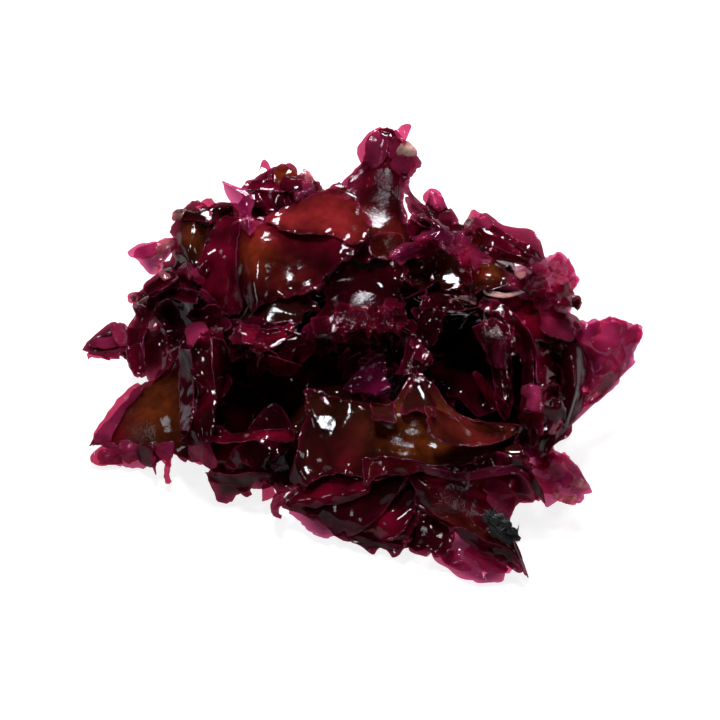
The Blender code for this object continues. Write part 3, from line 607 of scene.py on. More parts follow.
def front_fronds():
    """The lowest fronds at the front, from the table up."""
    toe = [
        [(22, -38, 4), (24, -48, 2), (32, -52.5, 1), (38, -54.5, 1)],
        [(30, -38, 6), (33, -45, 4), (38, -50, 3), (43, -52.5, 2)],
        [(40, -36, 7), (44, -42, 6), (47, -46, 4), (50, -49.5, 3)],
    ]
    hem_lobes = [
        [(-22, -29, 8), (-21, -33, 6), (-17, -38, 4), (-12, -41, 2)],
        [(-15, -28, 9), (-14, -33, 7), (-12, -37, 5), (-9, -39, 3)],
        [(-7, -27, 10), (-6, -31, 8), (-5, -35, 6), (-6, -38, 4)],
    ]
    rolled_hem = [
        [(12, -34, 10), (13, -40, 6), (15, -45.5, 3)],
        [(20, -33, 12), (20, -40, 8), (21, -46, 3)],
        [(32, -36, 12), (29, -42, 8), (26, -46.5, 4)],
    ]
    front_panel = [
        [(-7, -27, 15), (-6, -34, 10), (-4, -39, 5), (-1, -41.5, 3)],
        [(6, -22, 18), (5, -30, 12), (6, -38, 6), (7, -42.5, 2)],
        [(21, -21, 18), (18, -30, 12), (15, -38, 7), (13, -44, 2)],
    ]
    right_skirt = [
        [(14, -14, 25), (15, -24, 20), (18, -31, 15), (30, -38, 10), (38, -43, 7), (45, -50, 2)],
        [(28, -14, 25), (28, -24, 20), (28, -30, 16), (34, -35, 12), (42, -41, 8), (48, -49.5, 2.5)],
        [(42, -14, 24), (42, -23, 19), (40, -29, 16), (42, -34, 12), (46, -40, 8), (50, -50, 3)],
        [(54, -22, 16), (54, -28, 11), (48.5, -29, 11), (46, -35, 10), (48.5, -42, 7), (51.5, -50, 3)],
    ]
    left_skirt = [
        [(-26, -27, 12), (-14, -19, 18), (-2, -15, 23), (14, -14, 24)],
        [(-26, -29.5, 11), (-14, -26, 15), (-2, -24, 18), (14, -20, 21)],
        [(-25, -32, 9), (-14, -35, 8), (-5, -38.5, 6), (14, -25, 16)],
    ]
    right_tail = [
        [(46, -8, 24), (58, -12, 18), (66, -14.5, 14), (70, -21, 10)],
        [(48, -14, 20), (60, -19, 15), (67, -21, 11), (71.5, -25, 7)],
        [(50, -20, 16), (56, -27, 10), (62, -28.5, 7), (67, -30, 5)],
    ]
    toe_leaves = (
        dark(
            [(24, -44, 0.6), (24, -48, 0.9), (29, -50.5, 0.6)],
            [(30, -43, 1.2), (31, -47, 1.8), (34, -49.5, 0.6)],
        ),
        pink(
            [(31, -44, 0.6), (36, -49, 1.8), (44, -51, 0.6)],
            [(37, -41, 1.2), (42, -45, 1.8), (48, -49, 0.6)],
        ),
    )
    front_leaves = (
        red(
            [(-5, -37, 0.6), (6, -31, 1.2), (19, -22.5, 1.2)],
            [(0, -40, 1.2), (8, -36, 2.4), (17, -28, 1.8)],
            [(3, -40.5, 0.6), (9, -40.5, 1.8), (14, -36, 1.2)],
        ),
        dark(
            [(-3, -40, 0.6), (3, -41, 1.2), (12, -42, 0.6)], [(-2, -42, 0), (3, -43.2, 0.3), (11, -44, 0)],
        ),
    )
    skirt_leaves = (
        brown([(19, -30, 0.6), (29, -36, 1.2), (37, -42, 0.6), (46, -47, 0.6)],
              [(24, -29, 1.2), (33, -33, 2.4), (40, -38, 1.8), (49, -45, 0.6)], glow=0.3),
        dark([(27, -37, 0.6), (34, -43, 1.2), (42, -46.5, 1.2), (48, -50.5, 0.6)],
             [(31, -36, 1.2), (38, -41, 2.4), (45, -43.5, 1.8), (51, -51, 0.6)]),
        pink([(40, -21, 0.6), (44, -22, 1.2), (49, -26, 0.6), (54, -28.7, 0)],
             [(38, -25, 1.2), (43, -27, 1.8), (47, -28.5, 0.6), (49, -29, 0)]),
        pink(
            [(38, -26, 0.6), (40, -31, 1.2), (44, -34, 0)], [(47, -26, 0.6), (48, -29, 1.2), (46, -34, 0)],
        ),
    )
    lens_leaves = (
        red([(-25, -28, 1.2), (-17, -22.5, 1.8), (-6, -19.5, 1.8), (1, -21, 1.2)],
            [(-25, -29.5, 1.2), (-16, -27, 3), (-6, -25.5, 3), (2, -24.5, 1.8)],
            [(-24, -31, 1.2), (-16, -30.5, 1.8), (-8, -29, 1.8), (1, -26, 1.2)]),
    )
    tail_leaves = (
        pink(
            [(55, -13, 1.2), (59, -14.5, 2.4), (64, -15, 1.2)],
            [(54, -18, 1.2), (58, -19.5, 3), (64, -21, 1.8)],
        ),
        pink(
            [(53, -20, 0.6), (58, -22, 1.8), (62, -22.5, 1.2)],
            [(55, -26, 0.6), (59, -26.5, 1.8), (62, -26, 0.6)],
        ),
        pale(
            [(60, -25, 0.6), (64, -26.5, 0.9), (67.5, -26, 0.6)],
            [(60.5, -28, 0.6), (63.5, -29, 0.6), (66.5, -29.8, 0.6)],
        ),
        pale(
            [(66, -19, 0.6), (69, -21.5, 0.9), (71.8, -24.5, 0.6)],
            [(65, -23.5, 0.6), (67.5, -25, 0.9), (70.5, -25.2, 0.6)],
        ),
        pale(
            [(55, -6, 1.2), (56, -9.5, 1.2), (57.5, -13, 0.6)],
            [(59.5, -7, 1.2), (60, -10, 1.2), (60.5, -12.5, 0.6)], glow=0.9,
        ),
        dark(
            [(60, -15, 1.2), (64, -18, 2.4), (68, -19, 1.2)],
            [(58, -18, 1.2), (62, -21, 2.4), (66, -23, 1.2)],
        ),
    )
    # Blush and glow spots here are painted light where a frond is lit or backlit, glow also the tissue's
    # own brown; shade is painted shade
    return [
        Frond("toe_frond", toe, "magenta_frond", relief=1.5, leaves=toe_leaves),
        Frond("hem_frond", hem_lobes, "magenta_frond", lobes=2.0),
        Frond("rolled_hem_frond", rolled_hem, lobes=1.0),
        Frond(
            "front_panel_frond", front_panel, stiff=1.3, lobes=0.8, blush=((4, -34, 9, 0.7),),
            leaves=front_leaves,
        ),
        Frond(
            "right_skirt_frond", right_skirt, stiff=1.3, lobes=1.0,
            blush=((32, -22, 9, 0.5), (42, -26, 8, 0.9)), glow=((27, -34, 7, 0.3),), leaves=skirt_leaves,
        ),
        Frond("left_skirt_frond", left_skirt, taper=0.5, lobes=0.6, relief=0.6, leaves=lens_leaves),
        Frond("right_tail_frond", right_tail, "magenta_frond", lobes=1.5, leaves=tail_leaves,
              scraps=((59, -18, 5, 4, 6, 0.4),)),
    ]


def left_fronds():
    """The fronds of the left flank, from the table up."""
    left_toe = [
        [(-64, -8, 9), (-76, -10, 5), (-86, -13, 3)],
        [(-64, -12, 6), (-76, -14, 4), (-87.5, -16, 2)],
        [(-64, -16, 4), (-75, -17.5, 2), (-83, -18.5, 1)],
    ]
    left_flap = [
        [(-49, -18, 12), (-48, -24, 7), (-46.5, -30, 2)],
        [(-43, -18, 13), (-42, -23, 9), (-41.5, -28.5, 4)],
        [(-36, -18, 13), (-36, -23, 9), (-37.5, -26.5, 5)],
    ]
    left_wing = [
        [(-54, 20, 30), (-64, 13, 24), (-74, 8, 17), (-84, -3, 8), (-88.5, -10, 4)],
        [(-54, 6, 25), (-63, 0, 20), (-72, -4, 14), (-80, -7, 8), (-86, -10.5, 4)],
        [(-53, -12, 14), (-60, -14, 10), (-68, -14, 8), (-76, -13, 6), (-83, -12, 4)],
    ]
    lower_left = [
        [(-57, -6, 20), (-45, -6, 24), (-35, -5, 26), (-20, -5, 27)],
        [(-56, -11, 16), (-46, -13, 18), (-36, -14, 19), (-21, -15, 20)],
        [(-51, -20, 9), (-42, -21, 10), (-35, -23, 9), (-30, -21, 10)],
    ]
    left_panel = [
        [(-60, 24, 32), (-58, 12, 28), (-57, 2, 24), (-57, -7, 19)],
        [(-52, 24, 36), (-51, 12, 33), (-50, 2, 29), (-50, -8, 22)],
        [(-45, 21, 37), (-44, 10, 34), (-44, 2, 30), (-45, -6, 24)],
    ]
    left_tip = [
        [(-62, 28, 30), (-72, 28, 24), (-80, 27.5, 19), (-88, 23.5, 16)],
        [(-62, 22, 28), (-72, 20, 22), (-81, 21, 17), (-90, 19, 14)],
        [(-64, 12, 24), (-74, 10, 17), (-78, 17, 16), (-86, 16.5, 14)],
    ]
    arch = [
        [(-77, 18, 18), (-76.5, 26, 22), (-72, 33.5, 28), (-64, 39, 34), (-54, 39, 38)],
        [(-71, 16, 20), (-71, 25, 23), (-67.5, 31, 28), (-63, 36, 33), (-53, 33, 37)],
    ]
    finger = [
        [(-76, 37, 28), (-70, 40, 31), (-60, 45, 38), (-50, 44, 42)],
        [(-75, 34, 27), (-68, 37, 31), (-60, 40, 37), (-50, 37, 40)],
    ]
    pink_triangle = [
        [(-76, 52, 36), (-68, 54, 40), (-59, 57, 45)],
        [(-72, 47, 36), (-67, 49, 40), (-60, 53, 44)],
        [(-68.5, 43.3, 36), (-66, 45.5, 38), (-61.5, 52.5, 42)],
    ]
    left_shoulder = [
        [(-61.5, 63.5, 45), (-60.5, 56, 43), (-60, 50, 41), (-57, 44, 40)],
        [(-53, 67, 50), (-53, 58, 49), (-54, 50, 46), (-54, 42, 43)],
        [(-41, 68, 53), (-44, 60, 52), (-47, 50, 49), (-50, 41, 45)],
    ]
    left_crumple = [
        [(-40, 28, 40), (-30, 29, 42), (-20, 30, 43)],
        [(-40, 20, 37), (-31, 20, 39), (-22, 21, 40)],
        [(-38, 13, 33), (-30, 14, 35), (-22, 14, 35)],
    ]
    flap_leaves = (
        dark(
            [(-42, -24, 0.6), (-39, -27, 1.2), (-37, -27.8, 0.6)],
            [(-38, -22, 0.6), (-36.5, -25, 1.2), (-35.5, -26, 0.6)],
        ),
        pink(
            [(-33, -23, 0.6), (-32.3, -27, 0.9), (-31.5, -29, 0.6)],
            [(-29.5, -23, 0.6), (-29, -26.5, 0.9), (-28.5, -27.5, 0.6)],
        ),
    )
    wing_leaves = (
        pink([(-73, 8.5, 0.6), (-79, 3.5, 0.6), (-84.5, -3, 0.6), (-89, -10.5, 0.3)],
             [(-71, 6, 0.6), (-76, 0, 1.2), (-80.5, -5, 1.2), (-83, -11, 0.6)], stout=0.8),
        pink([(-84, -11, 0.6), (-86.5, -14, 0.9), (-87, -16.5, 0.6), (-84.5, -18.5, 0.6)],
             [(-76, -12.5, 1.2), (-78, -14.5, 1.8), (-78.5, -16.5, 1.2), (-78, -17.7, 0.6)]),
        pink(
            [(-80, -10, 0.6), (-79.5, -13, 1.2), (-76, -17.5, 0.6)],
            [(-72, -10, 0.6), (-72, -13.5, 1.5), (-71.5, -16, 0.6)], stout=0.9,
        ),
        red(
            [(-72, -11, 0.6), (-71, -16, 0.9), (-69.5, -18, 0.6)],
            [(-67, -11, 0.6), (-67.5, -15, 1.2), (-67, -17.5, 0.6)],
        ),
        pink(
            [(-68.5, -14, 0.6), (-68, -17, 0.9), (-66.9, -19.8, 0.6)],
            [(-66, -14, 0.6), (-66.2, -17, 0.9), (-66.4, -19.9, 0.6)],
        ),
        pink(
            [(-66, -11, 0.6), (-65, -16, 0.9), (-63, -18, 0.6)],
            [(-61, -11, 0.6), (-61.5, -15.5, 1.2), (-61.5, -17.5, 0.6)],
        ),
        pink([(-63.2, -15, 0.6), (-63.4, -19.5, 0.9), (-63.5, -22, 0.6), (-62.9, -23.6, 0.6)],
             [(-61.8, -15, 0.6), (-62, -19.5, 0.9), (-62, -22, 0.6), (-62.3, -23.6, 0.6)]),
    )
    tip_leaves = (
        pink([(-77, 24.5, 0.6), (-83, 24.4, 0.9), (-87, 23.5, 0.6), (-89, 21.5, 0.6)],
             [(-77, 20, 0.6), (-82, 20.5, 1.5), (-86, 20.5, 1.2), (-88.5, 20.5, 0.6)]),
        pink([(-78, 20, 0.6), (-84, 19, 1.2), (-88, 19.3, 0.9), (-90.4, 18.5, 0.6)],
             [(-79, 17, 0.6), (-84, 17, 0.9), (-88, 16.8, 0.6), (-90, 17, 0.6)]),
        pink(
            [(-80, 21, 0.6), (-81.7, 25, 0.9), (-82, 28, 0.6)],
            [(-75, 21, 0.6), (-76.5, 25, 1.2), (-80.8, 28, 0.6)],
        ),
    )
    arch_leaves = (
        red([(-77, 20, 0), (-76, 14, 0.6), (-74, 10, 0)], [(-72, 22, 0.6), (-71, 17, 1.2), (-70, 12, 0.6)]),
        dark(
            [(-68, 34, 0.6), (-66, 28, 1.2), (-64, 20, 0.6)],
            [(-61, 36, 0.6), (-59, 28, 2.4), (-57, 20, 0.6)], relief=1.5, ruffle=1.5, shade=0.5,
        ),
    )
    finger_leaves = (
        pink(
            [(-73, 35, 0), (-75, 34.5, 0.3), (-76.5, 35.5, 0)],
            [(-72, 38, 0), (-74, 38, 0.6), (-76, 37.5, 0)], stout=0.9,
        ),
        pale(
            [(-73.5, 34.5, 0), (-72, 36, 0.6), (-69.5, 37.5, 0)],
            [(-72.5, 33.8, 0), (-71, 34.8, 0.3), (-69, 36, 0)],
        ),
        dark(
            [(-71, 41, 0.6), (-68, 43, 1.2), (-62, 46, 0.6)],
            [(-70, 37, 0.6), (-66, 39, 1.8), (-60, 42, 0.6)],
        ),
    )
    triangle_leaves = (
        red(
            [(-75.3, 52, 0.6), (-70, 54.5, 0.6), (-66, 54.4, 0.6)],
            [(-71.5, 48.8, 0.6), (-68, 50, 0.9), (-65, 51.5, 0.6)],
        ),
        pale(
            [(-67, 54.8, 0.6), (-64, 55.6, 0.9), (-60, 56.4, 0.6)],
            [(-66, 47, 0.6), (-64, 50, 1.2), (-61.5, 53, 0.6)], pale=0.35,
        ),
        pale(
            [(-67.5, 46, 0.6), (-66, 43, 0.9), (-64.5, 41.5, 0.6)],
            [(-65, 46, 0.6), (-63.5, 44, 0.9), (-62, 42.5, 0.6)], pale=0.3,
        ),
    )
    shoulder_leaves = (
        dark([(-61, 62.5, 0.6), (-55, 61.5, 1.2), (-47, 61.5, 1.2), (-40, 61, 0.6)],
             [(-60.5, 64.5, 1.2), (-54, 63.5, 2.4), (-47, 65, 2.4), (-41, 65, 1.2)],
             [(-58, 65.3, 0.6), (-53, 64.3, 1.2), (-47, 67, 1.2), (-41, 67.3, 0.6)]),
        pink(
            [(-54.5, 65, 0), (-52, 67.5, 0.3), (-50, 68.8, 0)],
            [(-47.5, 66, 0), (-48.3, 67.3, 0.3), (-49.5, 68.7, 0)],
        ),
        pale(
            [(-61.6, 61, 0.6), (-61.4, 63, 1.2), (-60, 65, 0.6)],
            [(-59.5, 61.5, 1.2), (-59, 63, 2.1), (-57.5, 64.8, 1.2)], pale=0.3,
        ),
    )
    crumple_leaves = (
        dark(
            [(-58, 30, 0.6), (-50, 26, 1.8), (-40, 20, 0.6)],
            [(-56, 33, 0.6), (-47, 31, 2.4), (-37, 27, 0.6)],
        ),
        dark(
            [(-60, 22, 0.6), (-54, 27, 2.4), (-46, 31, 0.6)],
            [(-60, 17, 0.6), (-52, 22, 1.8), (-42, 27, 0.6)],
        ),
        red(
            [(-36, 28, 0.6), (-30, 26, 1.8), (-22, 29, 0.6)],
            [(-36, 23, 0.6), (-30, 20, 1.8), (-22, 24, 0.6)],
        ),
        dark(
            [(-44, 21, 0.6), (-38, 16, 1.8), (-30, 12, 0.6)],
            [(-40, 25, 0.6), (-34, 21, 2.4), (-26, 17, 0.6)],
        ),
        red(
            [(-30, 18, 0.6), (-25, 16, 1.8), (-19, 14, 0.6)],
            [(-31, 13, 0.6), (-26, 11, 1.8), (-20, 10, 0.6)],
        ),
    )
    lower_leaves = (
        red(
            [(-52, -6, 0.6), (-42, -7, 1.2), (-31, -6, 1.2), (-22, -5, 0.6)],
            [(-52, -10, 0.6), (-42, -10, 1.8), (-31, -9, 1.8), (-23, -10, 0.6)],
        ),
        dark(
            [(-45, -17, 0.6), (-40, -10.5, 1.8), (-37, -12, 1.2)],
            [(-43, -20, 0.6), (-38, -17, 2.4), (-34, -19, 0.6)],
        ),
        dark(
            [(-51, -19, 0.6), (-42, -20, 1.8), (-32, -20, 1.8), (-24, -20, 0.6)],
            [(-50, -22, 0.6), (-42, -24, 1.8), (-33, -24, 1.8), (-25, -23, 0.6)],
        ),
        pink(
            [(-56, -11, 0.6), (-55.5, -15.3, 0.9), (-53, -17, 0.6)],
            [(-50.5, -10, 0.6), (-50, -14.5, 1.2), (-50.5, -17, 0.6)],
        ),
        pink(
            [(-50, -13, 0.6), (-50, -17, 0.9), (-49, -18.5, 0.6)],
            [(-47.5, -13.5, 0.6), (-46.6, -16.5, 0.9), (-47, -18, 0.6)],
        ),
        dark([(-27, -26, 0.6), (-28.8, -30.5, 0.9), (-28.3, -32.8, 0.6), (-26.5, -33.9, 0.6)],
             [(-25, -26, 0.6), (-27, -30.5, 0.9), (-27, -32.3, 0.6), (-26, -33, 0.6)]),
    )
    panel_leaves = (
        dark(
            [(-49, 24, 0.6), (-48, 14, 1.2), (-47, 2, 0.6)],
            [(-44, 22, 1.2), (-42, 12, 2.4), (-43, 1, 1.2)],
        ),
        dark(
            [(-60, 20, 0.6), (-59, 8, 0.6), (-59, -5, 0.6)],
            [(-55, 20, 1.2), (-54, 8, 1.8), (-55, -6, 1.2)],
        ),
    )
    # Blush and glow spots here are painted light where a frond is lit or backlit, glow also the tissue's
    # own brown; shade is painted shade
    return [
        Frond("left_toe_frond", left_toe, "magenta_frond", lobes=1.5),
        Frond("left_flap_frond", left_flap, lobes=0.8, leaves=flap_leaves),
        Frond("left_wing_frond", left_wing, "brown_frond", stiff=1.5, blush=((-80, -5, 8, 0.8),),
              glow=((-67, 0, 11, 0.6),), leaves=wing_leaves),
        Frond("left_tip_frond", left_tip, lobes=1.5, leaves=tip_leaves),
        Frond("arch_frond", arch, lobes=0.5, relief=0.4, leaves=arch_leaves),
        Frond("finger_frond", finger, lobes=0.5, relief=0.5, leaves=finger_leaves),
        Frond("pink_triangle_frond", pink_triangle, "magenta_frond", lobes=0.3, relief=0.3, ruffle=0.4,
              leaves=triangle_leaves),
        Frond("left_shoulder_frond", left_shoulder, "brown_frond", stiff=1.3, glow=((-55, 55, 8, 0.3),),
              leaves=shoulder_leaves),
        Frond(
            "left_crumple_frond", left_crumple, scraps=((-42, 20, 15, 6, 11, 0.1),), shade=0.6, lobes=3.0,
            taper=0.6, relief=2.0, leaves=crumple_leaves,
        ),
        Frond(
            "lower_left_frond", lower_left, shade=0.3, lobes=3.0, taper=0.6, blush=((-40, -8, 8, 0.5),),
            leaves=lower_leaves,
        ),
        Frond(
            "left_panel_frond", left_panel, shade=0.5, lobes=3.0, taper=0.6, blush=((-52, 8, 7, 0.4),),
            leaves=panel_leaves,
        ),
    ]


def right_fronds():
    """The fronds of the right flank."""
    right_fan = [
        [(64, 30, 30), (72, 28, 26), (80, 31, 24), (86, 27, 21), (90, 28.5, 20)],
        [(64, 16, 26), (72, 17, 22), (79, 19, 19), (85, 19, 17), (88.5, 20, 16)],
        [(60, -9, 14), (66, -4, 12), (72, 3, 12), (80, 7.5, 12), (86, 12, 13)],
    ]
    right_wall = [
        [(58, 24, 36), (59, 14, 32), (60, 4, 27), (60, -8, 20)],
        [(66, 24, 33), (67, 14, 28), (66, 4, 23), (61, -8, 18)],
        [(72, 22, 28), (71.5, 12, 24), (69, 2, 19), (62, -9, 16)],
    ]
    right_panel = [
        [(50, 26, 40), (50, 14, 36), (50, 2, 31), (51, -8, 25)],
        [(55, 25, 39), (55, 13, 35), (55, 2, 30), (55, -9, 23)],
        [(62, 22, 36), (60, 12, 32), (60, 2, 27), (59, -8, 21)],
    ]
    brown_leaf = [
        [(29, 49, 46), (30, 42, 43), (33, 37, 40)],
        [(38, 50, 48), (38, 44, 46), (36, 39, 42)],
        [(47, 48, 46), (48, 43, 43), (46, 40, 41)],
    ]
    right_sheet = [
        [(37, 41, 45), (48, 40, 45), (58, 38, 41), (66, 34, 35)],
        [(38, 35, 44), (48, 34, 44), (58, 30, 40), (69, 28, 33)],
        [(38, 29, 42), (46, 28, 42), (54, 22, 37), (64, 19, 31)],
    ]
    lace = [
        [(48, 48, 43), (56, 49, 41), (62, 50, 39), (66, 49, 37)],
        [(50, 43, 43), (57, 43, 41), (63, 43, 38), (68, 42, 35)],
        [(50, 38, 41), (57, 37, 40), (62, 36, 37), (67, 35, 33)],
    ]
    right_ridge = [
        [(31, 58, 48), (36, 64.5, 52), (45, 58, 50), (53, 54.5, 46), (58.5, 47.5, 41)],
        [(30, 53, 47), (38, 56, 50), (46, 53, 48), (52, 50, 44), (57, 47, 40)],
        [(30, 49, 45), (38, 50, 47), (46, 48, 45), (52, 47, 42), (56, 45, 40)],
    ]
    hanging_leaf = [
        [(34, 25, 40), (38, 16, 36), (41, 8, 33), (42, 0, 29)],
        [(40, 28, 42), (42, 20, 39), (44, 10, 34), (45, -1, 29)],
        [(47, 26, 41), (47, 20, 39), (47, 10, 34), (47.5, 2, 30)],
    ]
    fan_leaves = (
        red(
            [(59, -10, 0), (63, 2, 1), (65, 14, 1), (66, 24, 0)],
            [(61.5, -9, 1), (70, 0, 3), (76, 7, 3), (77, 18, 1)],
            [(63, -8, 0), (74, 2, 1), (81, 8, 1), (84, 14, 0)], thin=0.25,
        ),
        pink(
            [(70, 0, 0.6), (77, 8, 1.8), (85, 17, 0.6)], [(70, 8, 0.6), (76, 14, 2.4), (83, 22, 0.6)],
            stout=1.0,
        ),
        pink(
            [(71, 25, 0.6), (75, 28.5, 1.2), (79, 31, 0.6)],
            [(73, 21, 1.2), (79, 25, 2.4), (84.5, 29, 1.2)], [(77, 18, 0.6), (82, 21, 1.8), (86, 26, 0.6)],
            stout=0.9,
        ),
        pink(
            [(84, 26.5, 0.6), (88, 28.4, 0.9), (90.5, 27, 0.6)],
            [(84, 20, 0.6), (87.5, 22, 1.8), (89.5, 23, 0.6)],
        ),
        red([(64, 30, 0.6), (70, 29, 1.8), (76, 29, 0.6)], [(64, 24, 0.6), (70, 22, 1.8), (76, 24, 0.6)]),
        pale(
            [(72, 3, 0), (78, 6, 0.6), (82, 11, 0)], [(71, 5, 0.6), (76, 9, 1.2), (80, 13, 0.6)],
            pale=0.25,
        ),
    )
    wall_leaves = (
        dark(
            [(60, 20, 0.6), (61, 8, 0.6), (62, -3, 0.6)], [(66, 22, 1.2), (66.5, 8, 2.4), (64, -5, 1.2)],
            [(71, 20, 0), (70, 8, 0.6), (65, -6, 0)],
        ),
    )
    panel_leaves = (
        dark(
            [(50, 26, 0.6), (50.5, 14, 0.6), (50, 2, 0.6), (50, -6, 0.6)],
            [(53, 26, 1.2), (53.5, 14, 2.4), (53, 2, 2.4), (52.5, -6, 1.2)], ruffle=2.0,
        ),
        red([(54, 24, 0.6), (54.5, 12, 0.6), (54, 0, 0.6)], [(59, 24, 1.2), (60, 12, 1.8), (59, 0, 1.2)]),
        pink([(52, -8, 0.6), (53, -4, 1.2), (55, 0, 0.6)], [(56, -8, 0.6), (57, -4, 1.2), (58, 0, 0.6)]),
        pink([(58, -7, 0.6), (60, -3, 1.2), (60, 1, 0.6)], [(61, -7, 0.6), (62, -3, 1.2), (62.5, 0, 0.6)]),
    )
    sheet_leaves = (
        brown(
            [(32.5, 24.5, 0.6), (36, 27.5, 1.2), (42, 28, 1.2), (46, 27, 0.6)],
            [(36, 21.5, 1.2), (38, 23.5, 2.1), (42, 24, 1.8), (47.5, 23, 1.2)],
        ),
        dark(
            [(40, 36, 0.6), (46, 33, 1.8), (52, 26, 1.8), (56, 18, 0.6)],
            [(40, 32, 0.6), (45, 29, 1.2), (49, 23, 1.2), (51, 15, 0.6)],
        ),
        red(
            [(56, 33, 0.6), (62, 32, 1.8), (68, 30, 0.6)], [(56, 25, 0.6), (61, 23, 2.4), (67, 22, 0.6)],
            thin=0.3,
        ),
        pale(
            [(38, 38.7, 1.2), (44, 37.6, 1.8), (50, 38.7, 1.8), (56, 41, 1.2)],
            [(38.5, 37, 1.2), (44, 36, 1.8), (50, 37.3, 1.8), (55, 40, 1.2)],
        ),
        pale(
            [(27, 34.9, 1.2), (31, 36, 1.5), (36, 34, 1.2)],
            [(27, 35.2, 1.2), (31.5, 36.8, 1.5), (36, 36.5, 1.2)], pale=0.5,
        ),
    )
    leaf_leaves = (
        red(
            [(30, 48, 0.6), (30.5, 44, 0.9), (32, 40, 0.6)],
            [(34, 48, 0.6), (34, 44, 1.2), (34.5, 41, 0.6)],
        ),
    )
    lace_leaves = (
        pink(
            [(60, 44, 0.6), (60, 48, 1.2), (62, 50.6, 0.6)],
            [(65, 43, 0.6), (64, 47, 1.8), (63.6, 50.4, 0.6)],
        ),
        pink(
            [(64, 43, 0.6), (65, 47, 1.2), (66, 49.6, 0.6)],
            [(67, 43, 0.6), (67.5, 45, 1.2), (67, 47, 0.6)],
        ),
        pink(
            [(62, 41, 0.6), (66, 43, 1.8), (68.3, 43, 0.6)],
            [(62, 37, 0.6), (66, 38, 1.8), (68.2, 39, 0.6)],
        ),
        pink(
            [(61, 37, 0.6), (64, 37, 1.8), (67, 37, 0.6)], [(61, 32, 0.6), (64, 31, 1.2), (66, 30, 0.6)],
            stout=0.9,
        ),
        red(
            [(52, 47, 0.6), (56, 47.5, 1.8), (60, 47, 0.6)],
            [(52, 43, 0.6), (56, 42.5, 1.8), (60, 43, 0.6)],
        ),
        pale(
            [(47, 46.5, 0.6), (48, 44, 1.2), (50, 42, 0.6)],
            [(51, 46.5, 0.6), (51.5, 45, 1.2), (51.5, 43, 0.6)],
        ),
        pink(
            [(50, 42, 0.6), (54, 42.5, 1.8), (59, 41, 0.6)], [(51, 38, 0.6), (55, 38, 1.8), (59, 37, 0.6)],
        ),
        dark([(54, 37, 0.6), (58, 38, 1.8), (62, 38, 0.6)], [(55, 33, 0.6), (58, 33, 1.8), (62, 34, 0.6)]),
    )
    ridge_leaves = (
        pink(
            [(33, 61, 0.6), (35.5, 64.7, 0.9), (41, 60.8, 0.6)],
            [(34, 57, 0.6), (38, 58.5, 1.8), (42, 57, 0.6)], stout=1.0,
        ),
        pale(
            [(32.2, 59.5, 0.6), (32.8, 61.5, 0.9), (34, 62, 0.6)],
            [(33.5, 58.5, 0.6), (34.5, 60, 0.9), (35, 61, 0.6)],
        ),
        dark(
            [(41, 60, 0.6), (48, 55.5, 1.2), (54, 52.5, 0.6), (58.3, 48, 0)],
            [(40, 57.5, 0.6), (46, 53.5, 2.4), (52, 50, 1.8), (57, 47, 0.6)],
        ),
        brown(
            [(31, 57.5, 0.6), (34, 58, 1.2), (38, 57, 0.6)],
            [(31, 52, 0.6), (35, 51.5, 1.2), (39, 52, 0.6)],
        ),
        red([(42, 53, 0.6), (49, 50, 1.8), (55, 47.5, 0.6)], [(40, 49, 0.6), (47, 47, 1.8), (53, 46, 0.6)]),
    )
    hanging_leaves = (
        pink(
            [(41, 22, 0.6), (39, 17, 1.2), (41, 14, 0.6)],
            [(44, 23, 1.2), (43, 18, 2.1), (43.5, 13.5, 1.2)],
            [(46, 20, 0.6), (47, 16, 1.2), (46, 13, 0.6)], stout=1.2,
        ),
        red(
            [(34.5, 12.5, 0.6), (37, 7, 0.9), (41, 2, 0.6), (43, -0.5, 0.6)],
            [(36, 13, 0.6), (40, 8.5, 1.5), (44, 3.5, 1.2), (46, 1, 0.6)],
        ),
    )
    # Blush and glow spots here are painted light where a frond is lit or backlit, glow also the tissue's
    # own brown; shade is painted shade
    return [
        Frond("right_fan_frond", right_fan, "magenta_frond", lobes=1.5, leaves=fan_leaves),
        Frond(
            "right_wall_frond", right_wall, shade=0.5, lobes=2.5, taper=0.5, blush=((62, 0, 5, 0.4),),
            leaves=wall_leaves,
        ),
        Frond(
            "right_panel_frond", right_panel, scraps=((56, 4, 5, 9, 7, 0.3),), shade=0.3, lobes=3.0,
            taper=0.5, blush=((58, 14, 7, 0.6),), leaves=panel_leaves,
        ),
        Frond(
            "right_sheet_frond", right_sheet, taper=0.5, blush=((48, 28, 9, 0.4), (62, 28, 8, 0.5)),
            leaves=sheet_leaves,
        ),
        Frond(
            "brown_leaf_frond", brown_leaf, "brown_frond", taper=0.5, glow=((38, 44, 7, 0.45),),
            leaves=leaf_leaves,
        ),
        Frond("lace_frond", lace, "magenta_frond", lobes=1.5, relief=1.5, leaves=lace_leaves),
        Frond(
            "right_ridge_frond", right_ridge, scraps=((59, 42, 6, 5, 10, 0.8),), blush=((46, 52, 8, 0.6),),
            leaves=ridge_leaves,
        ),
        Frond("hanging_leaf_frond", hanging_leaf, lobes=1.0, leaves=hanging_leaves),
    ]


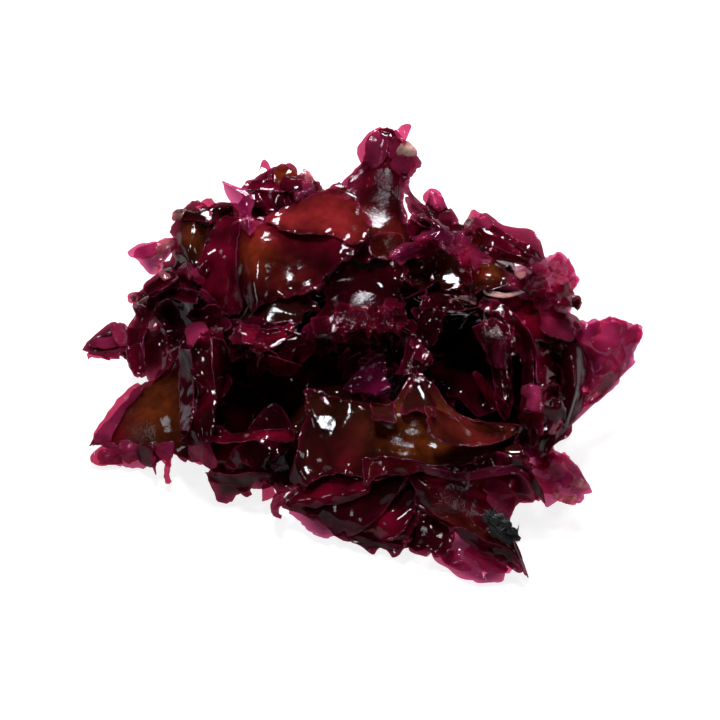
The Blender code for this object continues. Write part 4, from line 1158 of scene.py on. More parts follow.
def crown_fronds():
    """The fronds of the crown and the middle, which lie over the flanks."""
    top_left = [
        [(-44, 64, 50), (-42, 68, 52), (-37, 74, 55), (-31, 78.5, 57)],
        [(-32, 61, 51), (-31, 67, 54), (-28, 73, 57), (-25, 79, 59)],
        [(-18, 61, 51), (-15, 66, 54), (-14, 70, 56), (-19, 78, 58)],
    ]
    crest = [
        [(-5, 50, 48), (-8, 61, 54), (-5, 72, 59), (0, 82, 66), (3, 91, 71)],
        [(6, 47.5, 48), (6, 60, 55), (7, 72, 61), (7, 83, 68), (9, 90, 72)],
        [(20, 49, 47), (15, 59, 53), (13, 70, 59), (16, 79, 65), (15, 87, 70)],
    ]
    crest_right = [
        [(13, 58, 50), (14, 64, 53), (18, 69.5, 55), (21, 72, 57)],
        [(20, 55, 50), (22, 60, 52), (24, 65, 54), (25.5, 69, 56)],
        [(28, 53, 48), (29, 57, 50), (30, 60, 51), (30, 63, 52)],
    ]
    centre_tongue = [
        [(-16, 48, 44), (-16, 36, 43), (-15, 26, 41), (-14, 18, 38)],
        [(-6, 53, 47), (-6, 39, 46), (-5, 28, 44), (-6, 19, 40)],
        [(6, 54, 47), (7, 40, 45), (6, 30, 42), (3, 21, 39)],
        [(15, 52, 44), (15, 39, 42), (13, 29, 40), (9, 20, 37)],
    ]
    petals = [
        [(8, 52, 49), (18, 55, 50), (25, 56, 50), (31, 55.5, 49)],
        [(12, 46, 47), (20, 49, 48), (26, 51, 48), (31, 51, 46)],
    ]
    mantle = [
        [(-43, 62, 56), (-42.5, 55, 53), (-41, 46, 48), (-38, 32, 42)],
        [(-36, 60.5, 57), (-35, 52, 56), (-35, 42, 51), (-34, 33, 45)],
        [(-27, 63.5, 58), (-27, 55, 56), (-27, 46, 51), (-25, 36, 46)],
        [(-18, 66, 58), (-17, 59, 56), (-17, 51, 53), (-16, 40, 48)],
        [(-10, 73, 60), (-9, 64, 58), (-8, 56, 55), (-8, 45.5, 50)],
        [(-5, 73, 60), (-1, 66, 58), (1, 60, 56), (3, 54, 52)],
    ]
    spike = [
        [(-46, 73.8, 64), (-43, 68, 61), (-40, 61, 59), (-38.3, 57.5, 57)],
        [(-45.6, 73.9, 64), (-40, 69, 63), (-37.6, 63, 61), (-36.5, 56.6, 58)],
        [(-45.2, 73.8, 64), (-36.2, 69.3, 62), (-36.3, 63, 60), (-34.2, 58.5, 58)],
    ]
    curl_left = [
        [(-3, 4, 36), (0, 9, 38), (2, 15, 40)],
        [(2, 4, 36), (5, 10, 39), (6, 17, 41)],
        [(7, 4, 36), (9, 9, 38), (9, 15, 40)],
    ]
    curl_middle = [
        [(10, 9, 37), (11, 14, 40), (11, 20, 42)],
        [(14, 8, 38), (15, 14, 41), (16, 22, 43)],
        [(19, 9, 37), (20, 14, 39), (20, 20, 41)],
    ]
    curl_right = [
        [(13, 25, 41), (16, 30, 43), (18, 36, 44)],
        [(18, 23, 41), (21, 29, 43), (22, 36, 44)],
        [(23, 22, 39), (26, 28, 41), (26, 34, 42)],
    ]
    apron = [
        [(-20, 10, 35), (-7, 5, 35), (7, 3, 34), (18, 9.5, 36), (31, -1, 31), (48, -4.5, 28)],
        [(-18, 0, 32), (-7, -3, 32), (6, -4, 32), (20, -4, 32), (34, -7, 28), (50, -9, 26)],
        [(-22, -12, 25), (-8, -12, 27), (7, -12, 28), (22, -13, 27), (37, -12, 25), (52, -13, 23)],
        [(-27, -29, 12), (-12, -22, 20), (4, -20, 22), (22, -18, 22), (39, -18, 22), (55, -21, 18)],
    ]
    apron_lip = [
        [(17, -16, 25), (30, -17, 24), (42, -14, 25), (50, -15, 23), (56, -23, 15)],
        [(16, -19, 22), (30, -20.5, 20), (42, -20, 20), (50, -21, 16), (57, -29, 8)],
    ]
    top_leaves = (
        brown(
            [(-30, 73, 0.6), (-30, 76, 0.9), (-29, 78.2, 0.6)],
            [(-25, 73, 1.2), (-25, 76.5, 1.8), (-25, 78.8, 0.9)],
            [(-20.5, 73.5, 0.6), (-20.8, 76, 1.2), (-21.5, 78.3, 0.6)], glow=0.8,
        ),
        pale(
            [(-18.5, 70, 0.6), (-19, 75, 1.2), (-20, 78, 0.6)],
            [(-16, 70.5, 0.6), (-17, 75, 1.2), (-18.6, 77.8, 0.6)], thin=0.6, pale=0.5,
        ),
        pink(
            [(-30.5, 74, 0.6), (-31.5, 77.5, 0.9), (-33.5, 78.3, 0.6), (-34, 77, 0.6)],
            [(-29.8, 74, 0.6), (-30.3, 78.5, 0.9), (-32, 81.3, 0.6), (-33, 81, 0.6)],
        ),
        pale(
            [(-15.5, 69.5, 0.6), (-15, 72.2, 1.2), (-13.5, 71.5, 0.6)],
            [(-14.5, 68.5, 0.6), (-13, 71, 1.2), (-11, 69.8, 0.6)], glow=0.5, pale=0.35,
        ),
        red(
            [(-38, 74, 0.6), (-30, 74.7, 1.2), (-22, 73.7, 1.2), (-15, 71.7, 0.6)],
            [(-39, 71, 1.2), (-30, 71, 2.4), (-22, 70.7, 2.4), (-16, 69.5, 1.2)],
        ),
        dark(
            [(-31, 70, 1.2), (-30, 66, 1.8), (-28, 63.5, 1.2)],
            [(-26, 70.5, 0.6), (-25.5, 67, 2.4), (-24, 64.5, 1.2)],
        ),
        dark(
            [(-25, 70, 0.6), (-24, 66.5, 2.1), (-22, 64.5, 1.2)],
            [(-20, 70, 1.2), (-20, 67.5, 2.4), (-18.5, 65.5, 1.2)],
        ),
        dark(
            [(-40, 70, 0.6), (-38, 66, 1.2), (-34, 61, 0.6)],
            [(-34, 71, 0.6), (-33, 66, 1.8), (-31, 61.5, 0.6)],
        ),
    )
    tongue_leaves = (
        dark(
            [(-17, 30, 0.6), (-16, 24, 1.2), (-15, 17, 0.6)],
            [(-11, 30, 1.2), (-10, 24, 2.4), (-9, 19, 1.2)],
        ),
        brown(
            [(-6, 33, 0.6), (-4, 27, 1.8), (-1, 21, 0.6)], [(1, 33, 0.6), (3, 27, 1.8), (5, 22, 0.6)],
            glow=0.35,
        ),
        dark([(-10, 34, 0.6), (-9, 28, 1.2), (-8, 22, 0.6)], [(-4, 33, 1.2), (-3, 27, 2.4), (-3, 22, 1.2)]),
    )
    crest_leaves = (
        pink(
            [(-2, 81, 0.4), (-1.7, 85, 0.8), (0.5, 89, 0.8), (4, 91.4, 0.4)],
            [(2, 79, 0.8), (3, 85, 2), (5, 89, 2), (7, 91, 0.8)],
            [(6, 79, 0.8), (7.5, 84, 2), (8.5, 87.5, 1.6), (10, 90, 0.4)], stout=0.8,
        ),
        dark(
            [(4, 91.5, 0.8), (8, 90.7, 1.2), (12.5, 88.5, 0.8)],
            [(6, 88.5, 1.6), (9, 88.3, 2), (11.5, 87.3, 1.6)],
        ),
        pink(
            [(8, 81, 0.8), (8.5, 85, 1.2), (9, 88, 0.8)],
            [(12, 80.5, 0.8), (12.5, 84.5, 1.6), (12.5, 87.5, 0.8)],
        ),
        pale(
            [(11, 82.5, 1.2), (11.8, 85.3, 1.8), (13.5, 87, 1.6)],
            [(14, 81.6, 1.2), (14.5, 84, 2.4), (14.8, 86.2, 1.6)],
            [(16.5, 82, 1), (16.4, 84, 1.4), (15.4, 85.9, 1.2)], pale=1.0, stout=2.0,
        ),
        pink(
            [(8.5, 80, 1.2), (9.5, 77.5, 1.6), (11, 75.5, 1.2)],
            [(12, 81.8, 1.2), (12.5, 79, 2.2), (13, 76, 1.4)],
            [(15.5, 81.2, 0.8), (16.3, 79, 1.2), (14.7, 76.5, 0.8)],
        ),
        pink(
            [(10, 88.7, 0.8), (12.5, 91, 0.8), (15, 92.3, 0.8)],
            [(11.5, 87.2, 0.8), (13, 89.3, 0.8), (15.2, 92.1, 0.8)],
        ),
        dark(
            [(11, 77, 0.8), (12.5, 72, 1), (14, 69, 0.8), (20, 65, 0.4)],
            [(14.5, 77, 0.4), (14.6, 73, 0.6), (16.4, 69.8, 0.4), (20.5, 66, 0.2)],
        ),
        red(
            [(-9, 71, 0.4), (-4, 77.5, 0.8), (-1, 81, 0.4)], [(-5, 70, 0.4), (-1, 75, 1.2), (2, 79, 0.8)],
            thin=0.4,
        ),
        dark(
            [(2, 55, 0.4), (6, 56, 1.2), (12, 57, 0.4)], [(3, 48.5, 0.4), (8, 48.5, 1.2), (14, 49.5, 0.4)],
            glow=0.3,
        ),
    )
    right_leaves = (
        pink(
            [(18, 67, 0.6), (19.5, 70.5, 1.2), (22, 72.3, 0.6)],
            [(22, 65, 1.2), (23.5, 68, 2.4), (24.5, 70, 1.2)],
            [(25, 64, 0.6), (26, 66, 1.2), (25.7, 68, 0.6)], stout=0.9,
        ),
        pink(
            [(23.5, 60, 0.6), (24, 63, 1.2), (26, 65, 0.6)],
            [(29, 58.5, 0.6), (28.7, 61, 1.2), (30, 63, 0.6)],
        ),
        dark(
            [(13, 69, 0.6), (18, 66.5, 1.8), (21, 65, 0.6)], [(14, 64, 0.6), (19, 62, 1.8), (24, 60, 0.6)],
        ),
        red(
            [(14, 62, 0.6), (20, 59.5, 1.8), (28, 58, 0.6)],
            [(14, 57, 0.6), (20, 55.5, 1.8), (28, 54, 0.6)],
        ),
    )
    petal_leaves = (
        pink(
            [(15.5, 55.5, 0.6), (18, 52.5, 1.2), (22, 50, 0.6)],
            [(20, 57.5, 0.6), (22, 55, 1.8), (24.5, 52, 0.6)], stout=1.0,
        ),
        pink(
            [(22.5, 56, 0.6), (27, 56.5, 1.2), (31, 56, 0.6)],
            [(24, 52, 0.6), (28, 52, 1.8), (31, 53, 0.6)], stout=1.0,
        ),
        pale(
            [(28.5, 50.5, 0.6), (31, 50, 1.2), (34, 48.5, 0.6)],
            [(29, 48.5, 0.6), (31, 48, 0.9), (33, 47.5, 0.6)], pale=0.4,
        ),
        pale(
            [(27, 51.7, 0.6), (33, 52.5, 1.2), (40, 49.5, 0.6)],
            [(27, 51.2, 0.6), (33, 51.6, 1.2), (39.5, 48.9, 0.6)], pale=0.4,
        ),
    )
    mantle_leaves = (
        red(
            [(-48, 61, 0.6), (-52, 50, 0), (-52, 42, 0), (-47, 31.5, 0)],
            [(-45, 63, 1.8), (-47, 52, 2.4), (-47, 43, 1.8), (-44, 31, 1.2)],
            [(-38, 61.5, 0.6), (-41, 53, 0.6), (-41, 44, 0), (-39, 32, 0)],
        ),
        red(
            [(-32, 63, 0.4), (-21, 67, 1.0), (-8, 73, 4.0)],
            [(-29, 60, 0.8), (-14, 61.5, 2.0), (2, 61, 5.5)],
            [(-26, 57.5, 0.8), (-13, 56, 1.8), (-1, 52.5, 4.5)], glow=0.25, blush=0.4, relief=0.2,
            ruffle=0.6,
        ),
        pink(
            [(-61, 44, 0.6), (-58, 44.5, 1.2), (-56, 42, 0.9)],
            [(-59, 47, 0.6), (-56.5, 48, 1.5), (-54.5, 45, 0.9)],
        ),
        pink(
            [(-56.5, 46, 1.2), (-55, 43, 1.8), (-54, 40.5, 1.2)],
            [(-54.5, 46, 1.2), (-53, 43.5, 1.8), (-51.5, 41.5, 1.2)],
        ),
        pink(
            [(-54, 38, 0.6), (-52, 35.5, 1.2), (-49, 32.8, 0.6)],
            [(-52, 39.5, 0.9), (-49, 37, 1.8), (-46.5, 34, 0.9)], stout=0.8,
        ),
        red(
            [(-53, 32, 0.6), (-49, 31.2, 0.9), (-44, 31, 0.6)],
            [(-51, 34, 0.6), (-48, 33.5, 1.5), (-45, 31.8, 0.6)],
        ),
    )
    apron_leaves = (
        red(
            [(19, 3, 0.6), (30, -2, 0.6), (40, -3.5, 0.6), (50, -4.5, 0)],
            [(21, -9, 1.2), (31, -11, 1.8), (40, -10, 1.8), (50, -7, 0.6)], blush=0.3, glow=0.15,
        ),
        dark([(2, 3, 0.6), (5, 5.5, 1.8), (9, 3, 0.6)], [(2, -3, 0.6), (6, -3, 1.8), (11, -4, 0.6)]),
        dark([(12, 4, 0.6), (17, 9.5, 1.8), (22, 4, 0.6)], [(12, -2, 0.6), (17, 0, 1.8), (23, -2, 0.6)]),
        red(
            [(0, -14, 0.6), (9, -14.5, 1.2), (20, -15.5, 0.6)],
            [(0, -24, 0.6), (5, -20, 1.8), (14, -21, 0.6)],
        ),
    )
    lip_leaves = (
        dark(
            [(20, -17.5, 0.6), (30, -19, 0.6), (42, -17, 0.6), (52, -16, 0)],
            [(20, -20, 1.2), (30, -22, 1.8), (42, -20, 1.8), (53, -21, 0.6)], thin=0.15,
        ),
    )
    # Blush and glow spots here are painted light where a frond is lit or backlit, glow also the tissue's
    # own brown; shade is painted shade
    return [
        Frond(
            "top_left_frond", top_left, scraps=((-23, 72, 8, 3, 3, 0.1),), lobes=1.5, relief=1.2,
            blush=((-30, 71, 9, 0.5),), leaves=top_leaves,
        ),
        Frond(
            "centre_tongue_frond", centre_tongue,
            scraps=((-6, 24, 8, 5, 5, 0.0), (16, 24, 14, 9, 12, 0.05)), shade=0.25, lobes=2.5, taper=0.6,
            leaves=tongue_leaves,
        ),
        Frond("crest_frond", crest, stiff=1.3, lobes=1.0, blush=((-5, 70, 6, 0.8), (2, 84, 9, 0.7)),
              glow=((2, 60, 7, 0.25), (12, 52, 6, 0.25)), leaves=crest_leaves),
        Frond("crest_right_frond", crest_right, lobes=1.5, leaves=right_leaves),
        Frond(
            "petal_frond", petals, "magenta_frond", scraps=((28, 54, 9, 5, 8, 0.4),), lobes=1.5,
            leaves=petal_leaves,
        ),
        Frond("mantle_frond", mantle, stiff=1.8, lobes=0.5, relief=0.2, ruffle=0.5,
              blush=((-20, 58, 13, 0.35), (-6, 64, 11, 0.4), (-30, 60, 10, 0.2)),
              glow=((-35, 50, 7, 0.6), (-10, 67, 7, 0.4), (-24, 43, 9, 0.15)), leaves=mantle_leaves),
        Frond("spike_frond", spike, "magenta_frond", lobes=0.2, relief=0.2, ruffle=0.3),
        Frond("curl_right_frond", curl_right, shade=0.3, lobes=3.0, taper=0.7, relief=1.5),
        Frond(
            "curl_middle_frond", curl_middle, scraps=((8, 13, 13, 7, 8, 0.05),), shade=0.3, lobes=3.0,
            taper=0.7, relief=1.5,
        ),
        Frond(
            "apron_frond", apron, "brown_frond", stiff=1.5, lobes=1.0, relief=0.6,
            glow=((16, -8, 10, 1.0), (34, -8, 9, 0.6), (-6, 4, 8, 0.15)), blush=((-8, -16, 9, 0.3),),
            leaves=apron_leaves,
        ),
        Frond(
            "curl_left_frond", curl_left, "magenta_frond", shade=0.8, stout=3.0, lobes=3.0, taper=0.6,
            relief=1.5,
        ),
        Frond("apron_lip_frond", apron_lip, lobes=0.5, relief=0.3, leaves=lip_leaves),
    ]


def holdfast_knot():
    """The gnarled knot: a flattened ball, longer than broad, swollen by slow and quick bulges."""
    u, v = np.meshgrid(
        np.linspace(0, math.pi, 41), np.linspace(0, 2 * math.pi, 64, endpoint=False), indexing="ij",
    )
    ball = np.stack([np.cos(u), np.sin(u) * np.cos(v), np.sin(u) * np.sin(v)], axis=-1)
    x, y, z = np.moveaxis(ball, -1, 0)
    swell = 1 + 0.18 * waves(5, x * 1.1, y * 1.1, z * 1.1) + 0.10 * bulges(6, x * 3, y * 3, z * 3)
    swell += 0.05 * waves(7, x * 8, y * 8, z * 8)
    return ball * swell[..., None] * (5.4, 2.9, 2.0)


def holdfast_fibres(count):
    """Tapered fibres that leave the knot: each a bent line, with a ring of corners at every step."""
    rng = np.random.default_rng(44)
    root = unit(rng.normal(size=(count, 3)) * (1.0, 0.8, 0.7))
    way = unit(root + rng.normal(size=(count, 3)) * 0.45)
    bend = rng.normal(size=(count, 3)) * 1.4
    reach = rng.uniform(1.5, 4.2, count)
    u = np.linspace(0, 1, 8)[None, :, None]
    line = root[:, None] * (4.6, 2.4, 1.5) + way[:, None] * reach[:, None, None] * u
    line = line + bend[:, None] * u**2
    radius = rng.uniform(0.28, 0.6, (count, 1, 1)) * (1 - 0.93 * u**1.5)
    along = unit(np.gradient(line, axis=1))
    first = unit(np.cross(along, rng.normal(size=(count, 1, 3))))
    second = np.cross(along, first)
    turn = np.linspace(0, 2 * math.pi, 6, endpoint=False)[None, None, :, None]
    ring = np.cos(turn) * first[:, :, None] + np.sin(turn) * second[:, :, None]
    return line[:, :, None] + ring * radius[..., None]


def ring_faces(count, rows, columns, first=0):
    """The quads of a stack of tubes, closed round and open at the ends."""
    at = first + np.arange(count * rows * columns).reshape(count, rows, columns)
    turned = np.roll(at, -1, axis=2)
    corners = (at[:, :-1], turned[:, :-1], turned[:, 1:], at[:, 1:])
    return np.stack(corners, axis=-1).reshape(-1, 4)


def add_holdfast():
    """Turns the knot and its fibres, sets them down on the heap and closes their poles and ends."""
    towards = direction(FRONT)
    across = np.array([1.0, 0.0, 0.0])
    upwards = np.cross(towards, across)
    slope = math.radians(HOLDFAST_SLOPE)
    along = across * math.cos(slope) + upwards * math.sin(slope)
    beside_it = upwards * math.cos(slope) - across * math.sin(slope)
    axes = np.stack([along, beside_it, towards])
    knot, fibres = holdfast_knot(), holdfast_fibres(HOLDFAST_FIBRES)
    place = seen_from(FRONT, HOLDFAST_PLACE)
    knot, fibres = knot @ axes + place, fibres @ axes + place
    need = HEAP.needed(knot[None], FRONT, 0.4).max() * towards
    knot, fibres = knot + need, fibres + need
    fibres[..., 2] = np.maximum(fibres[..., 2], 0.5)
    points = np.concatenate([knot.reshape(-1, 3), fibres.reshape(-1, 3)])
    faces = np.concatenate([
        ring_faces(1, *knot.shape[:2]),
        ring_faces(*fibres.shape[:3], first=len(knot.reshape(-1, 3))),
    ])
    piece = new_piece("holdfast_knot", points, faces, "holdfast", "holdfast")
    mesh = bmesh.new()
    mesh.from_mesh(piece.data)
    bmesh.ops.remove_doubles(mesh, verts=mesh.verts, dist=1e-6)
    bmesh.ops.holes_fill(mesh, edges=[edge for edge in mesh.edges if edge.is_boundary], sides=6)
    bmesh.ops.recalc_face_normals(mesh, faces=mesh.faces)
    mesh.to_mesh(piece.data)
    mesh.free()
    return piece


class Tree:
    """A node tree with short ways to add the nodes that the finishes need."""

    def __init__(self, tree):
        self.tree = tree

    def add(self, kind):
        return self.tree.nodes.new(kind)

    def link(self, source, target):
        self.tree.links.new(source, target)

    def put(self, value, socket):
        if isinstance(value, bpy.types.NodeSocket):
            self.link(value, socket)
        else:
            socket.default_value = value

    def noise(self, place, scale, detail=2, distortion=0.0):
        node = self.add("ShaderNodeTexNoise")
        self.link(place, node.inputs["Vector"])
        node.inputs["Scale"].default_value = scale
        node.inputs["Detail"].default_value = detail
        node.inputs["Distortion"].default_value = distortion
        return node.outputs["Fac"]

    def attribute(self, name):
        node = self.add("ShaderNodeAttribute")
        node.attribute_name = name
        return node.outputs["Fac"]

    def map(self, value, low, high, to_low, to_high):
        node = self.add("ShaderNodeMapRange")
        self.put(value, node.inputs["Value"])
        for name, number in zip(("From Min", "From Max", "To Min", "To Max"), (low, high, to_low, to_high)):
            node.inputs[name].default_value = number
        return node.outputs["Result"]

    def math(self, operation, first, second):
        node = self.add("ShaderNodeMath")
        node.operation = operation
        self.put(first, node.inputs[0])
        self.put(second, node.inputs[1])
        return node.outputs[0]

    def mix(self, blend, share, first, second):
        node = self.add("ShaderNodeMix")
        node.data_type = "RGBA"
        node.blend_type = blend
        self.put(share, node.inputs[0])
        self.put(first, node.inputs[6])
        self.put(second, node.inputs[7])
        return node.outputs[2]

    def bump(self, height, shader, strength):
        node = self.add("ShaderNodeBump")
        node.inputs["Strength"].default_value = strength
        node.inputs["Distance"].default_value = WRINKLE_DEPTH
        self.link(height, node.inputs["Height"])
        self.link(node.outputs[0], shader.inputs["Normal"])

    def grey(self, value):
        node = self.add("ShaderNodeCombineColor")
        for channel in node.inputs:
            self.link(value, channel)
        return node.outputs[0]


TISSUE_COLOURS = ("body", "margin", "blush", "glow", "thin", "pale")


def tissue_group():
    """The pattern of wet frond tissue, which all frond finishes use with their own colours.

    In: the colours of the body, the margin, the places painted brighter where lit (blush) or with backlight
    glow and the tissue's own brown (glow), and thin and pale leaves.
    Out: the surface colour with its painted light, painted rim light and painted shade, its roughness and
    the height of its small wrinkles.
    """
    group = bpy.data.node_groups.get("wet_tissue")
    if group:
        return group
    group = bpy.data.node_groups.new("wet_tissue", "ShaderNodeTree")
    for name in TISSUE_COLOURS:
        group.interface.new_socket(f"{name.title()} Color", in_out="INPUT", socket_type="NodeSocketColor")
    group.interface.new_socket("Roughness", in_out="INPUT", socket_type="NodeSocketFloat")
    group.interface.new_socket("Color", in_out="OUTPUT", socket_type="NodeSocketColor")
    group.interface.new_socket("Roughness", in_out="OUTPUT", socket_type="NodeSocketFloat")
    group.interface.new_socket("Height", in_out="OUTPUT", socket_type="NodeSocketFloat")
    tree = Tree(group)
    given, out = tree.add("NodeGroupInput"), tree.add("NodeGroupOutput")
    place = tree.add("ShaderNodeTexCoord").outputs["Object"]
    broad = tree.noise(place, 70, detail=3)
    fine = tree.noise(place, 420, detail=3)
    micro = tree.noise(place, 1300, detail=2)
    margin = tree.attribute("margin")
    edge = tree.map(margin, 0.2, 2.2, 1, 0)
    edge = tree.math("MULTIPLY", edge, tree.map(fine, 0.25, 0.6, 0.35, 1))
    mottle = tree.map(broad, 0.35, 0.65, 0.45, 1.25)
    # Painted light: blush brightens the crimson where a frond is lit, glow paints orange-brown, the
    # tissue's own brown and backlight glow
    glow = tree.math("MULTIPLY", tree.attribute("glow"), tree.map(fine, 0.3, 0.65, 0.55, 1.1))
    blush = tree.math("MULTIPLY", tree.attribute("blush"), tree.map(broad, 0.3, 0.6, 0.5, 1.1))
    colour = tree.mix("MIX", blush, given.outputs["Body Color"], given.outputs["Blush Color"])
    colour = tree.mix("MIX", edge, colour, given.outputs["Margin Color"])
    colour = tree.mix("MIX", glow, colour, given.outputs["Glow Color"])
    # A thin pink line along the margin: thinner tissue and a painted rim light, dimmed where the frond has
    # painted shade
    rim = tree.math("MULTIPLY", tree.map(margin, 0.0, 0.4, 0.5, 0), tree.map(fine, 0.35, 0.6, 0.2, 1))
    rim = tree.math("MULTIPLY", rim, tree.map(tree.attribute("shade"), 0, 0.6, 1, 0.1))
    thin = tree.math("MAXIMUM", rim, tree.attribute("thin"))
    colour = tree.mix("MIX", thin, colour, given.outputs["Thin Color"])
    bleached = tree.math("MULTIPLY", tree.attribute("pale"), tree.map(fine, 0.35, 0.6, 0.4, 1.3))
    colour = tree.mix("MIX", bleached, colour, given.outputs["Pale Color"])
    # Painted shade: the shade attribute darkens the colour to a quarter, on top of the random mottle
    light = tree.math("MULTIPLY", mottle, tree.map(tree.attribute("shade"), 0, 1, 1, 0.25))
    colour = tree.mix("MULTIPLY", 1.0, colour, tree.grey(light))
    tree.link(colour, out.inputs["Color"])
    rough = tree.math("MULTIPLY", given.outputs["Roughness"], tree.map(fine, 0.3, 0.7, 0.7, 1.5))
    tree.link(rough, out.inputs["Roughness"])
    wrinkles = tree.math("MULTIPLY", tree.noise(place, 130, detail=2, distortion=0.6), 0.25)
    height = tree.math("ADD", wrinkles, tree.math("MULTIPLY", fine, 0.12))
    patch = tree.math("MULTIPLY", tree.attribute("sparkle"), tree.map(broad, 0.40, 0.52, 0.4, 1.0))
    grain = tree.math("MULTIPLY", micro, tree.map(patch, 0, 1, 0.04, 1.1))
    height = tree.math("ADD", height, grain)
    tree.link(height, out.inputs["Height"])
    return group


@dataclass
class Film:
    """The colours of a wet frond, and how much of the light it stops."""

    body: tuple
    margin: tuple
    # painted light: the crimson of the places where a frond is lit
    blush: tuple
    # orange-brown of brown tissue and of painted backlight glow
    glow: tuple
    tint: tuple  # of the light that comes through one wall
    thin_stop: float  # share of the light that is stopped at the margin
    thick_stop: float  # and in the body
    thin: tuple = (0.48, 0.04, 0.14)
    pale: tuple = (0.85, 0.55, 0.45)


FILMS = {
    "crimson_frond": Film(
        body=(0.040, 0.0008, 0.004), margin=(0.13, 0.003, 0.022), blush=(0.24, 0.0024, 0.022),
        glow=(0.28, 0.036, 0.006), tint=(0.86, 0.28, 0.44), thin_stop=0.55, thick_stop=0.97,
    ),
    "brown_frond": Film(
        body=(0.030, 0.0042, 0.003), margin=(0.11, 0.003, 0.015), blush=(0.18, 0.003, 0.013),
        glow=(0.22, 0.040, 0.007), tint=(0.86, 0.26, 0.40), thin_stop=0.62, thick_stop=0.97,
    ),
    "magenta_frond": Film(
        body=(0.22, 0.006, 0.055), margin=(0.46, 0.045, 0.15), blush=(0.34, 0.025, 0.11),
        glow=(0.46, 0.11, 0.09), tint=(0.92, 0.38, 0.58), thin_stop=0.32, thick_stop=0.66,
    ),
}
FILM_ROUGHNESS = 0.08
FILM_IOR = 1.4
WRINKLE_DEPTH = 0.0006  # metres


def frond_finish(slot):
    """A wet film: a shining surface that lets tinted light through, most of all at its margin."""
    film = FILMS[slot]
    material = bpy.data.materials.new(slot + "_film")
    material.use_nodes = True
    tree = Tree(material.node_tree)
    shader = material.node_tree.nodes["Principled BSDF"]
    out = material.node_tree.nodes["Material Output"]
    tissue = tree.add("ShaderNodeGroup")
    tissue.node_tree = tissue_group()
    for name in TISSUE_COLOURS:
        tissue.inputs[f"{name.title()} Color"].default_value = (*getattr(film, name), 1)
    tissue.inputs["Roughness"].default_value = FILM_ROUGHNESS
    tree.link(tissue.outputs["Color"], shader.inputs["Base Color"])
    tree.link(tissue.outputs["Roughness"], shader.inputs["Roughness"])
    shader.inputs["IOR"].default_value = FILM_IOR
    tree.bump(tissue.outputs["Height"], shader, 0.8)
    clear = tree.add("ShaderNodeBsdfTransparent")
    clear.inputs["Color"].default_value = (*film.tint, 1)
    stop = tree.map(tree.attribute("margin"), 0.3, 4.0, film.thin_stop, film.thick_stop)
    stop = tree.math("MULTIPLY", stop, tree.map(tree.attribute("thin"), 0, 1, 1, 0.55))
    wall = tree.add("ShaderNodeMixShader")
    tree.link(stop, wall.inputs[0])
    tree.link(clear.outputs[0], wall.inputs[1])
    tree.link(shader.outputs[0], wall.inputs[2])
    tree.link(wall.outputs[0], out.inputs["Surface"])
    return material


def holdfast_finish():
    """Dull grey-black, fibrous, with paler ridges."""
    material = bpy.data.materials.new("holdfast_fibre")
    material.use_nodes = True
    tree = Tree(material.node_tree)
    shader = material.node_tree.nodes["Principled BSDF"]
    place = tree.add("ShaderNodeTexCoord").outputs["Object"]
    grain = tree.noise(place, 900, detail=4, distortion=1.5)
    ridges = tree.map(grain, 0.4, 0.7, 0, 1)
    colour = tree.mix("MIX", ridges, (0.002, 0.0015, 0.0015, 1), (0.024, 0.019, 0.017, 1))
    tree.link(colour, shader.inputs["Base Color"])
    tree.link(tree.map(grain, 0.3, 0.7, 0.35, 0.7), shader.inputs["Roughness"])
    tree.bump(grain, shader, 1.0)
    return material


def finish(slot):
    """The material of a slot, made once."""
    name = "holdfast_fibre" if slot == "holdfast" else slot + "_film"
    found = bpy.data.materials.get(name)
    return found or (holdfast_finish() if slot == "holdfast" else frond_finish(slot))


LIGHT_COLOUR = (0.90, 0.95, 1.0)
LIT_PLACE = Vector((0, 0, 0.03))
SOFTBOXES = {  # place, side of the square, which power it has and what share of it
    "key_light": ((-0.12, -0.12, 0.9), 0.16, "key", 0.45),
    "back_light": ((0.1, 0.6, 0.6), 0.25, "key", 1.0),
    "left_light": ((-0.7, -0.3, 0.5), 0.2, "fill", 1.0),
    "right_light": ((0.7, -0.1, 0.6), 0.2, "fill", 1.0),
}


def add_softbox(name, place, size, watts):
    """A square area light at a place, turned to the heap."""
    light = bpy.data.lights.new(name, "AREA")
    light.size = size
    light.energy = watts
    light.color = LIGHT_COLOUR
    lamp = bpy.data.objects.new(name, light)
    lamp.location = place
    lamp.rotation_euler = (LIT_PLACE - Vector(place)).to_track_quat("-Z", "Y").to_euler()
    bpy.context.scene.collection.objects.link(lamp)


FLOOR_RADIUS = 4.0
FLOOR_CORNERS = 64
FLOOR_TOP = -0.0002
UNSEEN_GLOW = 0.1  # share of the floor's glow that lights the heap, and isn't only seen


